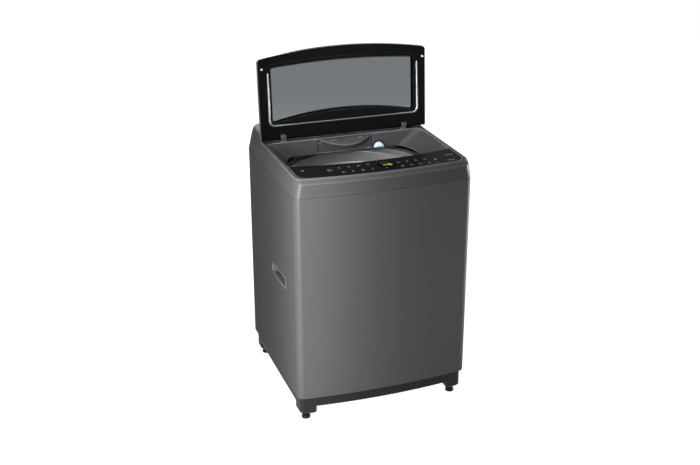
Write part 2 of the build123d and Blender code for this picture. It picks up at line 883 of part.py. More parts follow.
# Detergent drawer: a tray in two compartments behind a half-round sloping handle
tray_length = cover_wall + drawer_reach
with BuildPart() as drawer_tray:
    with Locations((0, opening_back, drawer_z)):
        Box(
            2 * drawer_half,
            tray_length,
            drawer_height,
            align=(Align.CENTER, Align.MIN, Align.MIN),
        )
    for low_x, high_x in (
        (drawer_wall - drawer_half, drawer_divider_x - drawer_wall / 2),
        (drawer_divider_x + drawer_wall / 2, drawer_half - drawer_wall),
    ):
        with Locations((low_x, opening_back + drawer_front, drawer_z + drawer_wall)):
            Box(
                high_x - low_x,
                tray_length - drawer_front - drawer_wall,
                drawer_height,
                align=(Align.MIN, Align.MIN, Align.MIN),
                mode=Mode.SUBTRACT,
            )


def handle_plan(height, half, reach):
    with BuildSketch(Plane.XY.offset(height)) as outline:
        with Locations((0, opening_back + drawer_front / 2)):
            Ellipse(half, reach)
            Rectangle(2 * half, reach, align=(Align.CENTER, Align.MIN), mode=Mode.SUBTRACT)
    return outline.sketch


handle_z = drawer_top - handle_drop
handle_top = ceiling_z - housing_gap
with BuildPart() as drawer_handle:
    loft(
        [
            handle_plan(handle_z, handle_low_half, handle_reach),
            handle_plan((handle_z + handle_top) / 2, handle_mid_half, handle_mid_reach),
            handle_plan(handle_top, drawer_half, handle_crown),
        ]
    )

with BuildPart() as whole_drawer:
    add(drawer_tray.part)
    add(drawer_handle.part)
whole_drawer.part.label = "detergent_drawer"
export_step(whole_drawer.part, "parts/detergent_drawer.step")

with BuildPart() as drawer_housing:
    with Locations((0, splash_back, housing_z)):
        Box(
            2 * housing_half,
            housing_back - splash_back,
            housing_top + housing_wall - housing_z,
            align=(Align.CENTER, Align.MIN, Align.MIN),
        )
    with Locations((0, splash_back, housing_z + housing_wall)):
        Box(
            2 * (drawer_half + housing_gap),
            housing_back - splash_back - housing_wall,
            housing_top - housing_z - housing_wall,
            align=(Align.CENTER, Align.MIN, Align.MIN),
            mode=Mode.SUBTRACT,
        )
drawer_housing.part.label = "drawer_housing"
export_step(drawer_housing.part, "parts/drawer_housing.step")

# Spray nozzle: a half-round dome on the splash wall beside the drawer
nozzle_plane = Plane(
    origin=(nozzle_x, opening_back, splash_z + nozzle_above_lip), x_dir=(1, 0, 0), z_dir=(0, -1, 0)
)
with BuildPart() as spray_nozzle:
    with BuildSketch(nozzle_plane):
        Circle(nozzle_radius)
        Rectangle(
            2 * nozzle_radius,
            nozzle_radius,
            align=(Align.CENTER, Align.MAX),
            mode=Mode.SUBTRACT,
        )
    extrude(amount=nozzle_reach)
    fillet(spray_nozzle.edges().group_by(Axis.Y)[0], nozzle_round)
spray_nozzle.part.label = "spray_nozzle"
export_step(spray_nozzle.part, "parts/spray_nozzle.step")

# Inlet valves: a body behind the rear wall and a threaded stub through it
for valve, valve_x in (("hot", inlet_x), ("cold", inlet_x + inlet_pitch)):
    valve_plane = Plane(origin=(valve_x, valve_back, inlet_z), x_dir=(1, 0, 0), z_dir=(0, 1, 0))
    with BuildPart() as inlet_valve:
        with BuildSketch(valve_plane):
            RectangleRounded(valve_width, valve_height, box_fillet)
        extrude(amount=-valve_length)
        with BuildSketch(valve_plane):
            Circle(inlet_radius - inlet_relief_depth)
        extrude(amount=inlet_relief)
        with BuildSketch(valve_plane.offset(inlet_relief)):
            Circle(inlet_radius)
        extrude(amount=inlet_length - inlet_relief)
        with BuildSketch(valve_plane.offset(inlet_length)):
            Circle(inlet_bore)
        extrude(amount=-inlet_length, mode=Mode.SUBTRACT)
    inlet_valve.part.label = f"inlet_valve_{valve}"
    export_step(inlet_valve.part, f"parts/inlet_valve_{valve}.step")

# Small boxes under the cover
with BuildPart() as lid_lock:
    with Locations((lock_x, lock_y, deck_ceiling_z)):
        Box(lock_width, lock_length, lock_height, align=(Align.MIN, Align.MIN, Align.MAX))
lid_lock.part.label = "lid_lock"
export_step(lid_lock.part, "parts/lid_lock.step")

with BuildPart() as level_sensor:
    with BuildSketch(Plane.XY.offset(deck_ceiling_z)):
        with Locations((sensor_x, sensor_y)):
            Circle(sensor_radius)
    extrude(amount=-sensor_height)
    fillet(level_sensor.edges().group_by(Axis.Z)[0], box_fillet)
level_sensor.part.label = "level_sensor"
export_step(level_sensor.part, "parts/level_sensor.step")

with BuildPart() as main_board:
    with Locations((main_board_x, main_board_y, deck_ceiling_z)):
        Box(
            main_board_width,
            main_board_depth,
            main_board_height,
            align=(Align.CENTER, Align.CENTER, Align.MAX),
        )
    fillet(main_board.edges().filter_by(Axis.Z), box_fillet)
main_board.part.label = "main_board"
export_step(main_board.part, "parts/main_board.step")

# Outer tub: a cup with four lugs for the suspension and a drain neck
with BuildPart() as outer_tub:
    with BuildSketch(tub_plane):
        with BuildLine():
            Polyline(
                (upper_bearing_radius, tub_bottom),
                (tub_radius, tub_bottom),
                (tub_radius, tub_top),
                (tub_radius - tub_wall, tub_top),
                (tub_radius - tub_wall, tub_bottom + tub_floor),
                (upper_bearing_radius, tub_bottom + tub_floor),
                close=True,
            )
        make_face()
    revolve(axis=tub_axis)
    for side, end in corner_sides.values():
        rod_distance = hypot(rod_x, rod_dy)
        lug_start = tub_radius - tub_wall / 2
        lug_length = rod_distance + lug_end - lug_start
        lug_mid = (lug_start + lug_length / 2) / rod_distance
        lug_angle = degrees(atan2(end * rod_dy, side * rod_x))
        lug_place = (side * rod_x * lug_mid, tub_y + end * rod_dy * lug_mid, lug_z)
        with Locations(Location(lug_place, (0, 0, lug_angle))):
            Box(
                lug_length,
                lug_width,
                lug_thickness,
                align=(Align.CENTER, Align.CENTER, Align.MIN),
            )
        with Locations((side * rod_x, tub_y + end * rod_dy, lug_z)):
            Cylinder(
                lug_bore,
                lug_thickness,
                align=(Align.CENTER, Align.CENTER, Align.MIN),
                mode=Mode.SUBTRACT,
            )
    with Locations((neck_x, neck_y, neck_z)):
        Cylinder(neck_radius, neck_drop, align=(Align.CENTER, Align.CENTER, Align.MIN))
        Cylinder(
            neck_bore,
            neck_drop + tub_floor,
            align=(Align.CENTER, Align.CENTER, Align.MIN),
            mode=Mode.SUBTRACT,
        )
outer_tub.part.label = "outer_tub"
export_step(outer_tub.part, "parts/outer_tub.step")

ring_inner = drum_radius + ring_clearance
ring_outer = tub_radius + ring_lap + slip_gap
with BuildPart() as tub_cover:
    with BuildSketch(tub_plane):
        with BuildLine():
            Polyline(
                (ring_inner, tub_top - ring_lip),
                (ring_inner, tub_top + ring_top),
                (ring_outer, tub_top + ring_top),
                (ring_outer, tub_top - ring_skirt),
                (ring_outer - ring_lap, tub_top - ring_skirt),
                (ring_outer - ring_lap, tub_top),
                (ring_inner + ring_lap, tub_top),
                (ring_inner + ring_lap, tub_top - ring_lip),
                close=True,
            )
        make_face()
    revolve(axis=tub_axis)
tub_cover.part.label = "tub_cover"
export_step(tub_cover.part, "parts/tub_cover.step")

# Drum: base, wall, balance ring and lint filters
with BuildPart() as drum_base:
    with BuildSketch(Plane.XY.offset(drum_z)):
        with Locations((0, tub_y)):
            Circle(drum_wall_radius)
            Circle(wash_radius + slip_gap, mode=Mode.SUBTRACT)
    extrude(amount=drum_base_thickness)
drum_base.part.label = "drum_base"
export_step(drum_base.part, "parts/drum_base.step")

with BuildPart() as drum_wall:
    with BuildSketch(Plane.XY.offset(drum_floor_z)):
        with Locations((0, tub_y)):
            Circle(drum_wall_radius)
            Circle(drum_wall_radius - drum_sheet, mode=Mode.SUBTRACT)
    extrude(amount=balance_z - drum_floor_z)
drum_wall.part.label = "drum_wall"
export_step(drum_wall.part, "parts/drum_wall.step")

with BuildPart() as balance_ring:
    with BuildSketch(Plane.XY.offset(balance_z)):
        with Locations((0, tub_y)):
            Circle(drum_radius)
            Circle(drum_radius - balance_width, mode=Mode.SUBTRACT)
    extrude(amount=balance_height)
    fillet(balance_ring.edges().group_by(Axis.Z)[-1], balance_round)
balance_ring.part.label = "balance_ring"
export_step(balance_ring.part, "parts/balance_ring.step")

filter_outer = drum_wall_radius - drum_sheet - slip_gap
filter_side = drum_wall_radius - filter_half
with BuildPart() as lint_filters:
    with BuildSketch(Plane.XY.offset(balance_z - filter_drop)):
        with Locations((0, tub_y)):
            Circle(filter_outer)
            Circle(filter_outer - filter_depth, mode=Mode.SUBTRACT)
        with Locations((0, tub_y + filter_half + filter_side), (0, tub_y - filter_half - filter_side)):
            Rectangle(2 * drum_radius, 2 * filter_side, mode=Mode.SUBTRACT)
    extrude(amount=-filter_height)
lint_filters.part.label = "lint_filters"
export_step(lint_filters.part, "parts/lint_filters.step")

# Shafts, bearings and bearing housing
with BuildPart() as bearing_housing:
    with BuildSketch(tub_plane):
        with BuildLine():
            Polyline(
                (hub_waist, hub_z + lower_bearing_height),
                (hub_waist, upper_bearing_z),
                (upper_bearing_radius, upper_bearing_z),
                (upper_bearing_radius, tub_bottom),
                (housing_flange, tub_bottom),
                (housing_flange, tub_bottom - housing_flange_thickness),
                (hub_radius, tub_bottom - housing_flange_thickness),
                (hub_radius, hub_z),
                (lower_bearing_radius, hub_z),
                (lower_bearing_radius, hub_z + lower_bearing_height),
                close=True,
            )
        make_face()
    revolve(axis=tub_axis)
bearing_housing.part.label = "bearing_housing"
export_step(bearing_housing.part, "parts/bearing_housing.step")

for ring_name, ring_z, ring_radius, ring_height in (
    ("upper_bearing", upper_bearing_z, upper_bearing_radius, upper_bearing_height),
    ("lower_bearing", hub_z, lower_bearing_radius, lower_bearing_height),
    ("shaft_seal", tub_bottom, upper_bearing_radius, seal_height),
):
    with BuildPart() as shaft_ring:
        with BuildSketch(Plane.XY.offset(ring_z)):
            with Locations((0, tub_y)):
                Circle(ring_radius - seat_gap)
                Circle(spin_radius + running_gap, mode=Mode.SUBTRACT)
        extrude(amount=ring_height)
    shaft_ring.part.label = ring_name
    export_step(shaft_ring.part, f"parts/{ring_name}.step")

with BuildPart() as spin_shaft:
    with BuildSketch(tub_plane):
        with BuildLine():
            Polyline(
                (wash_radius + running_gap, spin_z),
                (spin_radius, spin_z),
                (spin_radius, spin_top),
                (spin_flange, spin_top),
                (spin_flange, drum_z),
                (wash_radius + running_gap, drum_z),
                close=True,
            )
        make_face()
    revolve(axis=tub_axis)
spin_shaft.part.label = "spin_shaft"
export_step(spin_shaft.part, "parts/spin_shaft.step")

with BuildPart() as wash_shaft:
    with BuildSketch(Plane.XY.offset(rotor_nut_z - shaft_tail)):
        with Locations((0, tub_y)):
            Circle(wash_radius)
    extrude(amount=shaft_top - rotor_nut_z + shaft_tail)
    with BuildSketch(Plane.XY.offset(shaft_top)):
        with Locations((0, tub_y)):
            Circle(pulsator_screw_shank + seat_gap)
    extrude(amount=-pulsator_screw_length - cut_over, mode=Mode.SUBTRACT)
wash_shaft.part.label = "wash_shaft"
export_step(wash_shaft.part, "parts/wash_shaft.step")

# Direct drive motor
with BuildPart() as stator:
    with BuildSketch(Plane.XY.offset(stator_z)):
        with Locations((0, tub_y)):
            Circle(stator_radius)
            Circle(hub_radius + seat_gap, mode=Mode.SUBTRACT)
    extrude(amount=stator_height)
stator.part.label = "stator"
export_step(stator.part, "parts/stator.step")

rotor_inner = stator_radius + air_gap
with BuildPart() as rotor:
    with BuildSketch(tub_plane):
        with BuildLine():
            Polyline(
                (wash_radius + seat_gap, rotor_z),
                (rotor_inner + rotor_wall, rotor_z),
                (rotor_inner + rotor_wall, stator_z + stator_height),
                (rotor_inner, stator_z + stator_height),
                (rotor_inner, rotor_z + rotor_floor),
                (wash_radius + seat_gap, rotor_z + rotor_floor),
                close=True,
            )
        make_face()
    revolve(axis=tub_axis)
rotor.part.label = "rotor"
export_step(rotor.part, "parts/rotor.step")

with BuildPart() as rotor_nut:
    with BuildSketch(Plane.XY.offset(rotor_nut_z)):
        with Locations((0, tub_y)):
            RegularPolygon(rotor_nut_across / 2, hex_sides, major_radius=False)
            Circle(wash_radius + seat_gap, mode=Mode.SUBTRACT)
    extrude(amount=rotor_nut_height)
rotor_nut.part.label = "rotor_nut"
export_step(rotor_nut.part, "parts/rotor_nut.step")

# Pulsator: a dished plate with radial vanes round a boss
boss_top = pulsator_z + pulsator_boss
dish_z = pulsator_z + pulsator_dish
with BuildPart() as pulsator:
    with BuildSketch(tub_plane):
        with BuildLine():
            Polyline(
                (wash_radius + seat_gap, pulsator_z),
                (pulsator_radius, pulsator_z),
                (pulsator_radius, pulsator_z + pulsator_edge),
                (pulsator_radius - pulsator_rim_step, pulsator_z + 2 * pulsator_edge),
                (pulsator_dish_radius, dish_z),
                (pulsator_boss_radius, boss_top),
                (screw_seat_radius, boss_top),
                (screw_seat_radius, shaft_top),
                (wash_radius + seat_gap, shaft_top),
                close=True,
            )
        make_face()
    revolve(axis=tub_axis)
    with Locations((0, tub_y, pulsator_z)):
        with PolarLocations(vane_from_axis, vane_count):
            Box(vane_length, vane_width, vane_height, align=(Align.CENTER, Align.CENTER, Align.MIN))
pulsator.part.label = "pulsator"
export_step(pulsator.part, "parts/pulsator.step")

with BuildPart() as pulsator_screw:
    with BuildSketch(Plane.XY.offset(shaft_top)):
        with Locations((0, tub_y)):
            Circle(pulsator_screw_radius)
    extrude(amount=pulsator_screw_head)
    with BuildSketch(Plane.XY.offset(shaft_top)):
        with Locations((0, tub_y)):
            Circle(pulsator_screw_shank)
    extrude(amount=-pulsator_screw_length)
pulsator_screw.part.label = "pulsator_screw"
export_step(pulsator_screw.part, "parts/pulsator_screw.step")

# Suspension: brackets in the cabinet's corners, seats, rods with end caps, springs
bracket_gap_x = 2 * (rod_x - bracket_reach)
bracket_gap_y = 2 * (rod_dy - bracket_reach)
rod_points = [(side * rod_x, tub_y + end * rod_dy) for side, end in corner_sides.values()]
with BuildPart() as corner_brackets:
    extrude(even_plan(bracket_z, sheet + seat_gap), amount=bracket_thickness)
    with Locations((0, tub_y, bracket_z + bracket_thickness / 2)):
        Box(bracket_gap_x, 2 * cabinet_depth, bracket_thickness, mode=Mode.SUBTRACT)
        Box(2 * cabinet_width, bracket_gap_y, bracket_thickness, mode=Mode.SUBTRACT)
    with BuildSketch(Plane.XY.offset(bracket_z)):
        with Locations(*rod_points):
            Circle(rod_radius + slip_gap)
    extrude(amount=bracket_thickness, mode=Mode.SUBTRACT)
corner_brackets.part.label = "corner_brackets"
export_step(corner_brackets.part, "parts/corner_brackets.step")

with BuildPart() as rod_seats:
    with BuildSketch(Plane.XY.offset(bracket_top)):
        with Locations(*rod_points):
            Circle(seat_radius)
            Circle(rod_radius + slip_gap, mode=Mode.SUBTRACT)
    extrude(amount=seat_height)
rod_seats.part.label = "rod_seats"
export_step(rod_seats.part, "parts/rod_seats.step")

for corner, (side, end) in corner_sides.items():
    rod_place = (side * rod_x, tub_y + end * rod_dy)
    with BuildPart() as suspension_rod:
        with BuildSketch(Plane.XY.offset(rod_z)):
            with Locations(rod_place):
                Circle(rod_cap_radius)
        extrude(amount=rod_cap)
        with BuildSketch(Plane.XY.offset(spring_z)):
            with Locations(rod_place):
                Circle(rod_radius)
        extrude(amount=bracket_top + seat_height - spring_z)
        with BuildSketch(Plane.XY.offset(bracket_top + seat_height)):
            with Locations(rod_place):
                Circle(rod_head_radius)
        extrude(amount=rod_head)
    suspension_rod.part.label = f"suspension_rod_{corner}"
    export_step(suspension_rod.part, f"parts/suspension_rod_{corner}.step")

    with BuildPart() as suspension_spring:
        with BuildSketch(Plane.XY.offset(spring_z)):
            with Locations(rod_place):
                Circle(spring_outer)
                Circle(spring_inner, mode=Mode.SUBTRACT)
        extrude(amount=spring_length)
    suspension_spring.part.label = f"suspension_spring_{corner}"
    export_step(suspension_spring.part, f"parts/suspension_spring_{corner}.step")

# Drain pump on the base, bellows up to the tub's neck, outlet and cord gland
with BuildPart() as drain_pump:
    with Locations((pump_x, pump_y, pump_z)):
        Box(pump_width, pump_depth, pump_height, align=(Align.CENTER, Align.CENTER, Align.MIN))
    fillet(drain_pump.edges().filter_by(Axis.Z), box_fillet)
    with Locations((neck_x, neck_y, pump_top - inlet_neck)):
        Cylinder(neck_radius, 2 * inlet_neck, align=(Align.CENTER, Align.CENTER, Align.MIN))
drain_pump.part.label = "drain_pump"
export_step(drain_pump.part, "parts/drain_pump.step")

bellows_z = pump_top + slip_gap
with BuildPart() as drain_bellows:
    with BuildSketch(Plane.XY.offset(bellows_z)):
        with Locations((neck_x, neck_y)):
            Circle(neck_radius + slip_gap + bellows_wall)
            Circle(neck_radius + slip_gap, mode=Mode.SUBTRACT)
    extrude(amount=tub_bottom - slip_gap - bellows_z)
drain_bellows.part.label = "drain_bellows"
export_step(drain_bellows.part, "parts/drain_bellows.step")

outlet_plane = Plane(origin=(outlet_x, rear_y, outlet_z), x_dir=(1, 0, 0), z_dir=(0, 1, 0))
with BuildPart() as drain_outlet:
    with BuildSketch(outlet_plane):
        Circle(outlet_flange)
    extrude(amount=outlet_flange_thickness)
    with BuildSketch(outlet_plane):
        Circle(outlet_radius)
    extrude(amount=bulge_depth)
    with BuildSketch(outlet_plane):
        Circle(outlet_radius)
    extrude(amount=-outlet_inner)
    with BuildSketch(outlet_plane.offset(bulge_depth)):
        Circle(outlet_bore)
    extrude(amount=-bulge_depth - outlet_inner, mode=Mode.SUBTRACT)
drain_outlet.part.label = "drain_outlet"
export_step(drain_outlet.part, "parts/drain_outlet.step")

hose_y = pump_y + pump_depth / 2
with BuildPart() as drain_hose:
    with BuildSketch(Plane(origin=(outlet_x, hose_y, outlet_z), x_dir=(1, 0, 0), z_dir=(0, 1, 0))):
        Circle(outlet_radius + slip_gap + hose_wall)
        Circle(outlet_radius + slip_gap, mode=Mode.SUBTRACT)
    extrude(amount=half_depth - slip_gap - hose_y)
drain_hose.part.label = "drain_hose"
export_step(drain_hose.part, "parts/drain_hose.step")

gland_plane = Plane(origin=(-outlet_x, rear_y, outlet_z), x_dir=(1, 0, 0), z_dir=(0, 1, 0))
with BuildPart() as cord_gland:
    with BuildSketch(gland_plane):
        Circle(gland_flange)
    extrude(amount=gland_flange_thickness)
    with BuildSketch(gland_plane):
        Circle(gland_radius)
    extrude(amount=-gland_inner)
    with BuildSketch(gland_plane.offset(gland_flange_thickness)):
        Circle(gland_bore)
    extrude(amount=-gland_flange_thickness - gland_inner, mode=Mode.SUBTRACT)
cord_gland.part.label = "cord_gland"
export_step(cord_gland.part, "parts/cord_gland.step")
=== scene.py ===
import bpy
import math
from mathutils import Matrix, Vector
from mathutils.bvhtree import BVHTree


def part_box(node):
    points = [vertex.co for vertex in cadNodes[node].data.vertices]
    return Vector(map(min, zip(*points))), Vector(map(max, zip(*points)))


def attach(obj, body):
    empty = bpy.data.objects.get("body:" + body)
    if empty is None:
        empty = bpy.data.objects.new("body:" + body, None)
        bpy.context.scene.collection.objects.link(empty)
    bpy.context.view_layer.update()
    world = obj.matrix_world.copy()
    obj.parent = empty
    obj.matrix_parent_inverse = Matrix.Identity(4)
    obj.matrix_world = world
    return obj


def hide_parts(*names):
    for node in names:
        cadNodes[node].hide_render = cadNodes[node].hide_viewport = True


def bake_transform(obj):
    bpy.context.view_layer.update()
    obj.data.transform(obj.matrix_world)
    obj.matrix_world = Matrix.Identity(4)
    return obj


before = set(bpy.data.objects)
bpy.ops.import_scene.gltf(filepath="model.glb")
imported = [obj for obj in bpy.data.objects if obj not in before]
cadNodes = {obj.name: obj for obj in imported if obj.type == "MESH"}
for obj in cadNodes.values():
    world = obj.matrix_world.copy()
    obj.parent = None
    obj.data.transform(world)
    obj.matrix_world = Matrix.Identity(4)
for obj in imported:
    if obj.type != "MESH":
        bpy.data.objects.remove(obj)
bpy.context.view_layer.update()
scene = bpy.context.scene
scene.view_settings.view_transform = "Standard"
mm = 0.001
print("frame loaded:", len(cadNodes), "nodes")

cameraSettings = {
    "place": (-1.397, -3.846, 2.305),
    "turn": (67.6, 0.0, -19.67),  # degrees
    "lens": 57.5,
    "sensor": 36.0,
}
cameraData = bpy.data.cameras.new("photoCamera")
cameraData.lens = cameraSettings["lens"]
cameraData.sensor_width = cameraSettings["sensor"]
camera = bpy.data.objects.new("photoCamera", cameraData)
camera.location = cameraSettings["place"]
camera.rotation_euler = [math.radians(a) for a in cameraSettings["turn"]]
scene.collection.objects.link(camera)
scene.camera = camera
print("camera placed")


def put(tree, kind, values=None, links=None):
    node = tree.nodes.new(kind)
    for key, value in (values or {}).items():
        if key in node.inputs:
            node.inputs[key].default_value = value
        else:
            setattr(node, key, value)
    for key, source in (links or {}).items():
        tree.links.new(source, node.inputs[key])
    return node


def mathNode(tree, operation, first, second):
    node = put(tree, "ShaderNodeMath", {"operation": operation})
    for index, value in enumerate((first, second)):
        if isinstance(value, (int, float)):
            node.inputs[index].default_value = value
        else:
            tree.links.new(value, node.inputs[index])
    return node.outputs[0]


def shownRays(tree):  # camera, glossy and transmission rays see the white studio
    path = put(tree, "ShaderNodeLightPath")
    nearer = mathNode(tree, "MAXIMUM", path.outputs["Is Camera Ray"], path.outputs["Is Glossy Ray"])
    return mathNode(tree, "MAXIMUM", nearer, path.outputs["Is Transmission Ray"])


stageSettings = {
    "floorSide": 60.0,
    "floorColour": (0.35, 0.35, 0.35, 1.0),
    "glow": 0.93,  # plain white that shown rays get from the floor, under its shadows
    "fill": 0.2,
}
white = (1.0, 1.0, 1.0, 1.0)

world = bpy.data.worlds.new("studioWorld")
scene.world = world
world.use_nodes = True
worldTree = world.node_tree
worldTree.nodes.clear()
fillLight = put(worldTree, "ShaderNodeBackground", {"Color": white, "Strength": stageSettings["fill"]})
backdrop = put(worldTree, "ShaderNodeBackground", {"Color": white, "Strength": 1.0})
worldMix = put(
    worldTree,
    "ShaderNodeMixShader",
    links={0: shownRays(worldTree), 1: fillLight.outputs[0], 2: backdrop.outputs[0]},
)
put(worldTree, "ShaderNodeOutputWorld", links={"Surface": worldMix.outputs[0]})

floorHalf = stageSettings["floorSide"] / 2
floorSigns = ((-1, -1), (1, -1), (1, 1), (-1, 1))
floorMesh = bpy.data.meshes.new("studioFloor")
floorMesh.from_pydata([(x * floorHalf, y * floorHalf, 0) for x, y in floorSigns], [], [(0, 1, 2, 3)])
floor = bpy.data.objects.new("studioFloor", floorMesh)
scene.collection.objects.link(floor)
floorMaterial = bpy.data.materials.new("studioFloor")
floorMaterial.use_nodes = True
floorTree = floorMaterial.node_tree
floorTree.nodes.clear()
floorPaint = put(floorTree, "ShaderNodeBsdfDiffuse", {"Color": stageSettings["floorColour"]})
floorShare = mathNode(floorTree, "MULTIPLY", shownRays(floorTree), stageSettings["glow"])
floorGlow = put(floorTree, "ShaderNodeEmission", {"Color": white}, {"Strength": floorShare})
floorMix = put(floorTree, "ShaderNodeAddShader", links={0: floorPaint.outputs[0], 1: floorGlow.outputs[0]})
put(floorTree, "ShaderNodeOutputMaterial", links={"Surface": floorMix.outputs[0]})
floorMesh.materials.append(floorMaterial)

lampSettings = {
    "keyBox": {
        "place": (-0.7, -0.71, 0.85), "aim": (-0.31, -0.33, 0.75),
        "size": (0.26, 1.66), "power": 9.4, "spread": 66,
    },
    "topBox": {
        "place": (-0.2, -0.95, 3.2), "aim": (0.0, 0.0, 1.0),
        "size": (1.4, 1.1), "power": 36, "spread": 180,
    },
    "rimStrip": {
        "place": (1.2, -0.24, 0.5), "aim": (0.34, -0.3, 0.5),
        "size": (0.6, 0.9), "power": 7.5, "spread": 60,
    },
    "backBox": {
        "place": (-0.4, 3.3, 1.8), "aim": (0.0, 0.2, 0.6),
        "size": (2.0, 2.0), "power": 110, "spread": 180,
    },
}
noLampGlass = bpy.data.collections.new("noLampGlass")  # the lid's glass mirrors no lamp
noLampGlass.objects.link(cadNodes["lid_glass"])
noLampGlass.collection_objects[0].light_linking.link_state = "EXCLUDE"
for lampName, lamp in lampSettings.items():
    lampData = bpy.data.lights.new(lampName, "AREA")
    lampData.shape = "RECTANGLE"
    lampData.size, lampData.size_y = lamp["size"]
    lampData.energy = lamp["power"]
    lampData.spread = math.radians(lamp["spread"])
    lampObject = bpy.data.objects.new(lampName, lampData)
    lampObject.location = lamp["place"]
    facing = Vector(lamp["aim"]) - Vector(lamp["place"])
    lampObject.rotation_euler = facing.to_track_quat("-Z", "Y").to_euler()
    lampObject.visible_camera = False
    lampObject.visible_transmission = False
    lampObject.light_linking.receiver_collection = noLampGlass
    scene.collection.objects.link(lampObject)
print("floor and lamps placed")


def newGroup(name, inputs, outputs):
    tree = bpy.data.node_groups.new(name, "ShaderNodeTree")
    for label, value in inputs.items():
        socket = tree.interface.new_socket(label, in_out="INPUT", socket_type="NodeSocketFloat")
        socket.default_value = value
    for label, kind in outputs.items():
        tree.interface.new_socket(label, in_out="OUTPUT", socket_type="NodeSocket" + kind)
    return tree, tree.nodes.new("NodeGroupInput").outputs, tree.nodes.new("NodeGroupOutput").inputs


def noise(tree, vector, scale, detail=2.0, rough=0.5):
    node = put(tree, "ShaderNodeTexNoise", {"Detail": detail, "Roughness": rough}, {"Vector": vector})
    if isinstance(scale, (int, float)):
        node.inputs["Scale"].default_value = scale
    else:
        tree.links.new(scale, node.inputs["Scale"])
    return node.outputs[0]


def ranged(tree, value, low, high, toLow=0.0, toHigh=1.0):
    node = put(
        tree,
        "ShaderNodeMapRange",
        {"From Min": low, "From Max": high, "To Min": toLow, "To Max": toHigh},
        {"Value": value},
    )
    return node.outputs[0]


def skinPlace(tree):
    return put(tree, "ShaderNodeTexCoord").outputs["Object"]


grainOutputs = {"Shade": "Float", "Gloss": "Float", "Height": "Float"}
noiseReach = (0.3, 0.7)  # where most of a noise lies, drawn out to 0 and 1
edgeSettings = {
    "samples": 6,
    "turn": (1.0, 0.9),  # how far the rounded normal leaves the flat one
    "lean": (0.1, 0.3),  # upward part of the normal, for edges that get a painted highlight only on top
    "patch": 60.0, "patchDetail": 3.0, "patchReach": (0.35, 0.65),
}


def edgeGroup():  # rounds the shading of sharp edges and masks them, for rubbed wear on most finishes and for a painted highlight on the cover, grip and lid
    edgeWearAndHighlightInputs = {"Width": 0.002, "Upward": 0.0, "Even": 0.0}
    tree, given, made = newGroup("edgeWearAndHighlight", edgeWearAndHighlightInputs, {"Normal": "Vector", "Mask": "Float"})
    bevel = put(tree, "ShaderNodeBevel", {"samples": edgeSettings["samples"]}, {"Radius": given["Width"]})
    surface = put(tree, "ShaderNodeNewGeometry")
    turn = put(tree, "ShaderNodeVectorMath", {"operation": "DOT_PRODUCT"})
    tree.links.new(bevel.outputs[0], turn.inputs[0])
    tree.links.new(surface.outputs["Normal"], turn.inputs[1])
    patches = noise(tree, skinPlace(tree), edgeSettings["patch"], edgeSettings["patchDetail"])
    breakUp = ranged(tree, patches, *edgeSettings["patchReach"])
    # Even keeps the mask unbroken, so it draws a painted highlight line rather than patchy wear
    breakUp = mathNode(tree, "MAXIMUM", breakUp, given["Even"])
    near = ranged(tree, turn.outputs["Value"], *edgeSettings["turn"])
    lean = put(tree, "ShaderNodeSeparateXYZ", links={"Vector": bevel.outputs[0]})
    upper = ranged(tree, lean.outputs["Z"], *edgeSettings["lean"])
    upper = mathNode(tree, "MAXIMUM", upper, mathNode(tree, "SUBTRACT", 1.0, given["Upward"]))
    rubbedAndHighlit = mathNode(tree, "MULTIPLY", near, breakUp)
    tree.links.new(mathNode(tree, "MULTIPLY", rubbedAndHighlit, upper), made["Mask"])
    tree.links.new(bevel.outputs[0], made["Normal"])
    return tree


mouldSettings = {"fineShare": 0.6, "cloudShare": 0.4, "cloud": 7.0, "cloudDetail": 4.0}


def mouldGroup():  # fine spark-eroded texture of moulded plastic
    tree, given, made = newGroup("mouldGrain", {"Scale": 900.0}, grainOutputs)
    place = skinPlace(tree)
    fine = noise(tree, place, given["Scale"])
    cloud = noise(tree, place, mouldSettings["cloud"], mouldSettings["cloudDetail"])
    speck = mathNode(tree, "MULTIPLY", fine, mouldSettings["fineShare"])
    blotch = mathNode(tree, "MULTIPLY", cloud, mouldSettings["cloudShare"])
    tree.links.new(mathNode(tree, "ADD", speck, blotch), made["Shade"])
    tree.links.new(ranged(tree, cloud, *noiseReach), made["Gloss"])
    tree.links.new(fine, made["Height"])
    return tree


flakeSettings = {"flakes": (0.35, 1.0), "peel": 0.16, "peelDetail": 1.0, "sheen": 5.0, "sheenDetail": 5.0}


def flakeGroup():  # metallic paint: bright flakes under a faint orange peel
    tree, given, made = newGroup("paintFlake", {"Scale": 1400.0}, grainOutputs)
    place = skinPlace(tree)
    cell = put(tree, "ShaderNodeTexVoronoi", links={"Vector": place, "Scale": given["Scale"]})
    split = put(tree, "ShaderNodeSeparateColor", links={"Color": cell.outputs["Color"]})
    peelScale = mathNode(tree, "MULTIPLY", given["Scale"], flakeSettings["peel"])
    sheen = noise(tree, place, flakeSettings["sheen"], flakeSettings["sheenDetail"])
    tree.links.new(ranged(tree, split.outputs["Red"], *flakeSettings["flakes"]), made["Shade"])
    tree.links.new(ranged(tree, sheen, *noiseReach), made["Gloss"])
    tree.links.new(noise(tree, place, peelScale, flakeSettings["peelDetail"]), made["Height"])
    return tree


brushSettings = {
    "draw": (0.05, 0.05, 1.0),
    "lineDetail": 4.0, "lineRough": 0.65,
    "band": 40.0, "bandDetail": 5.0,
}


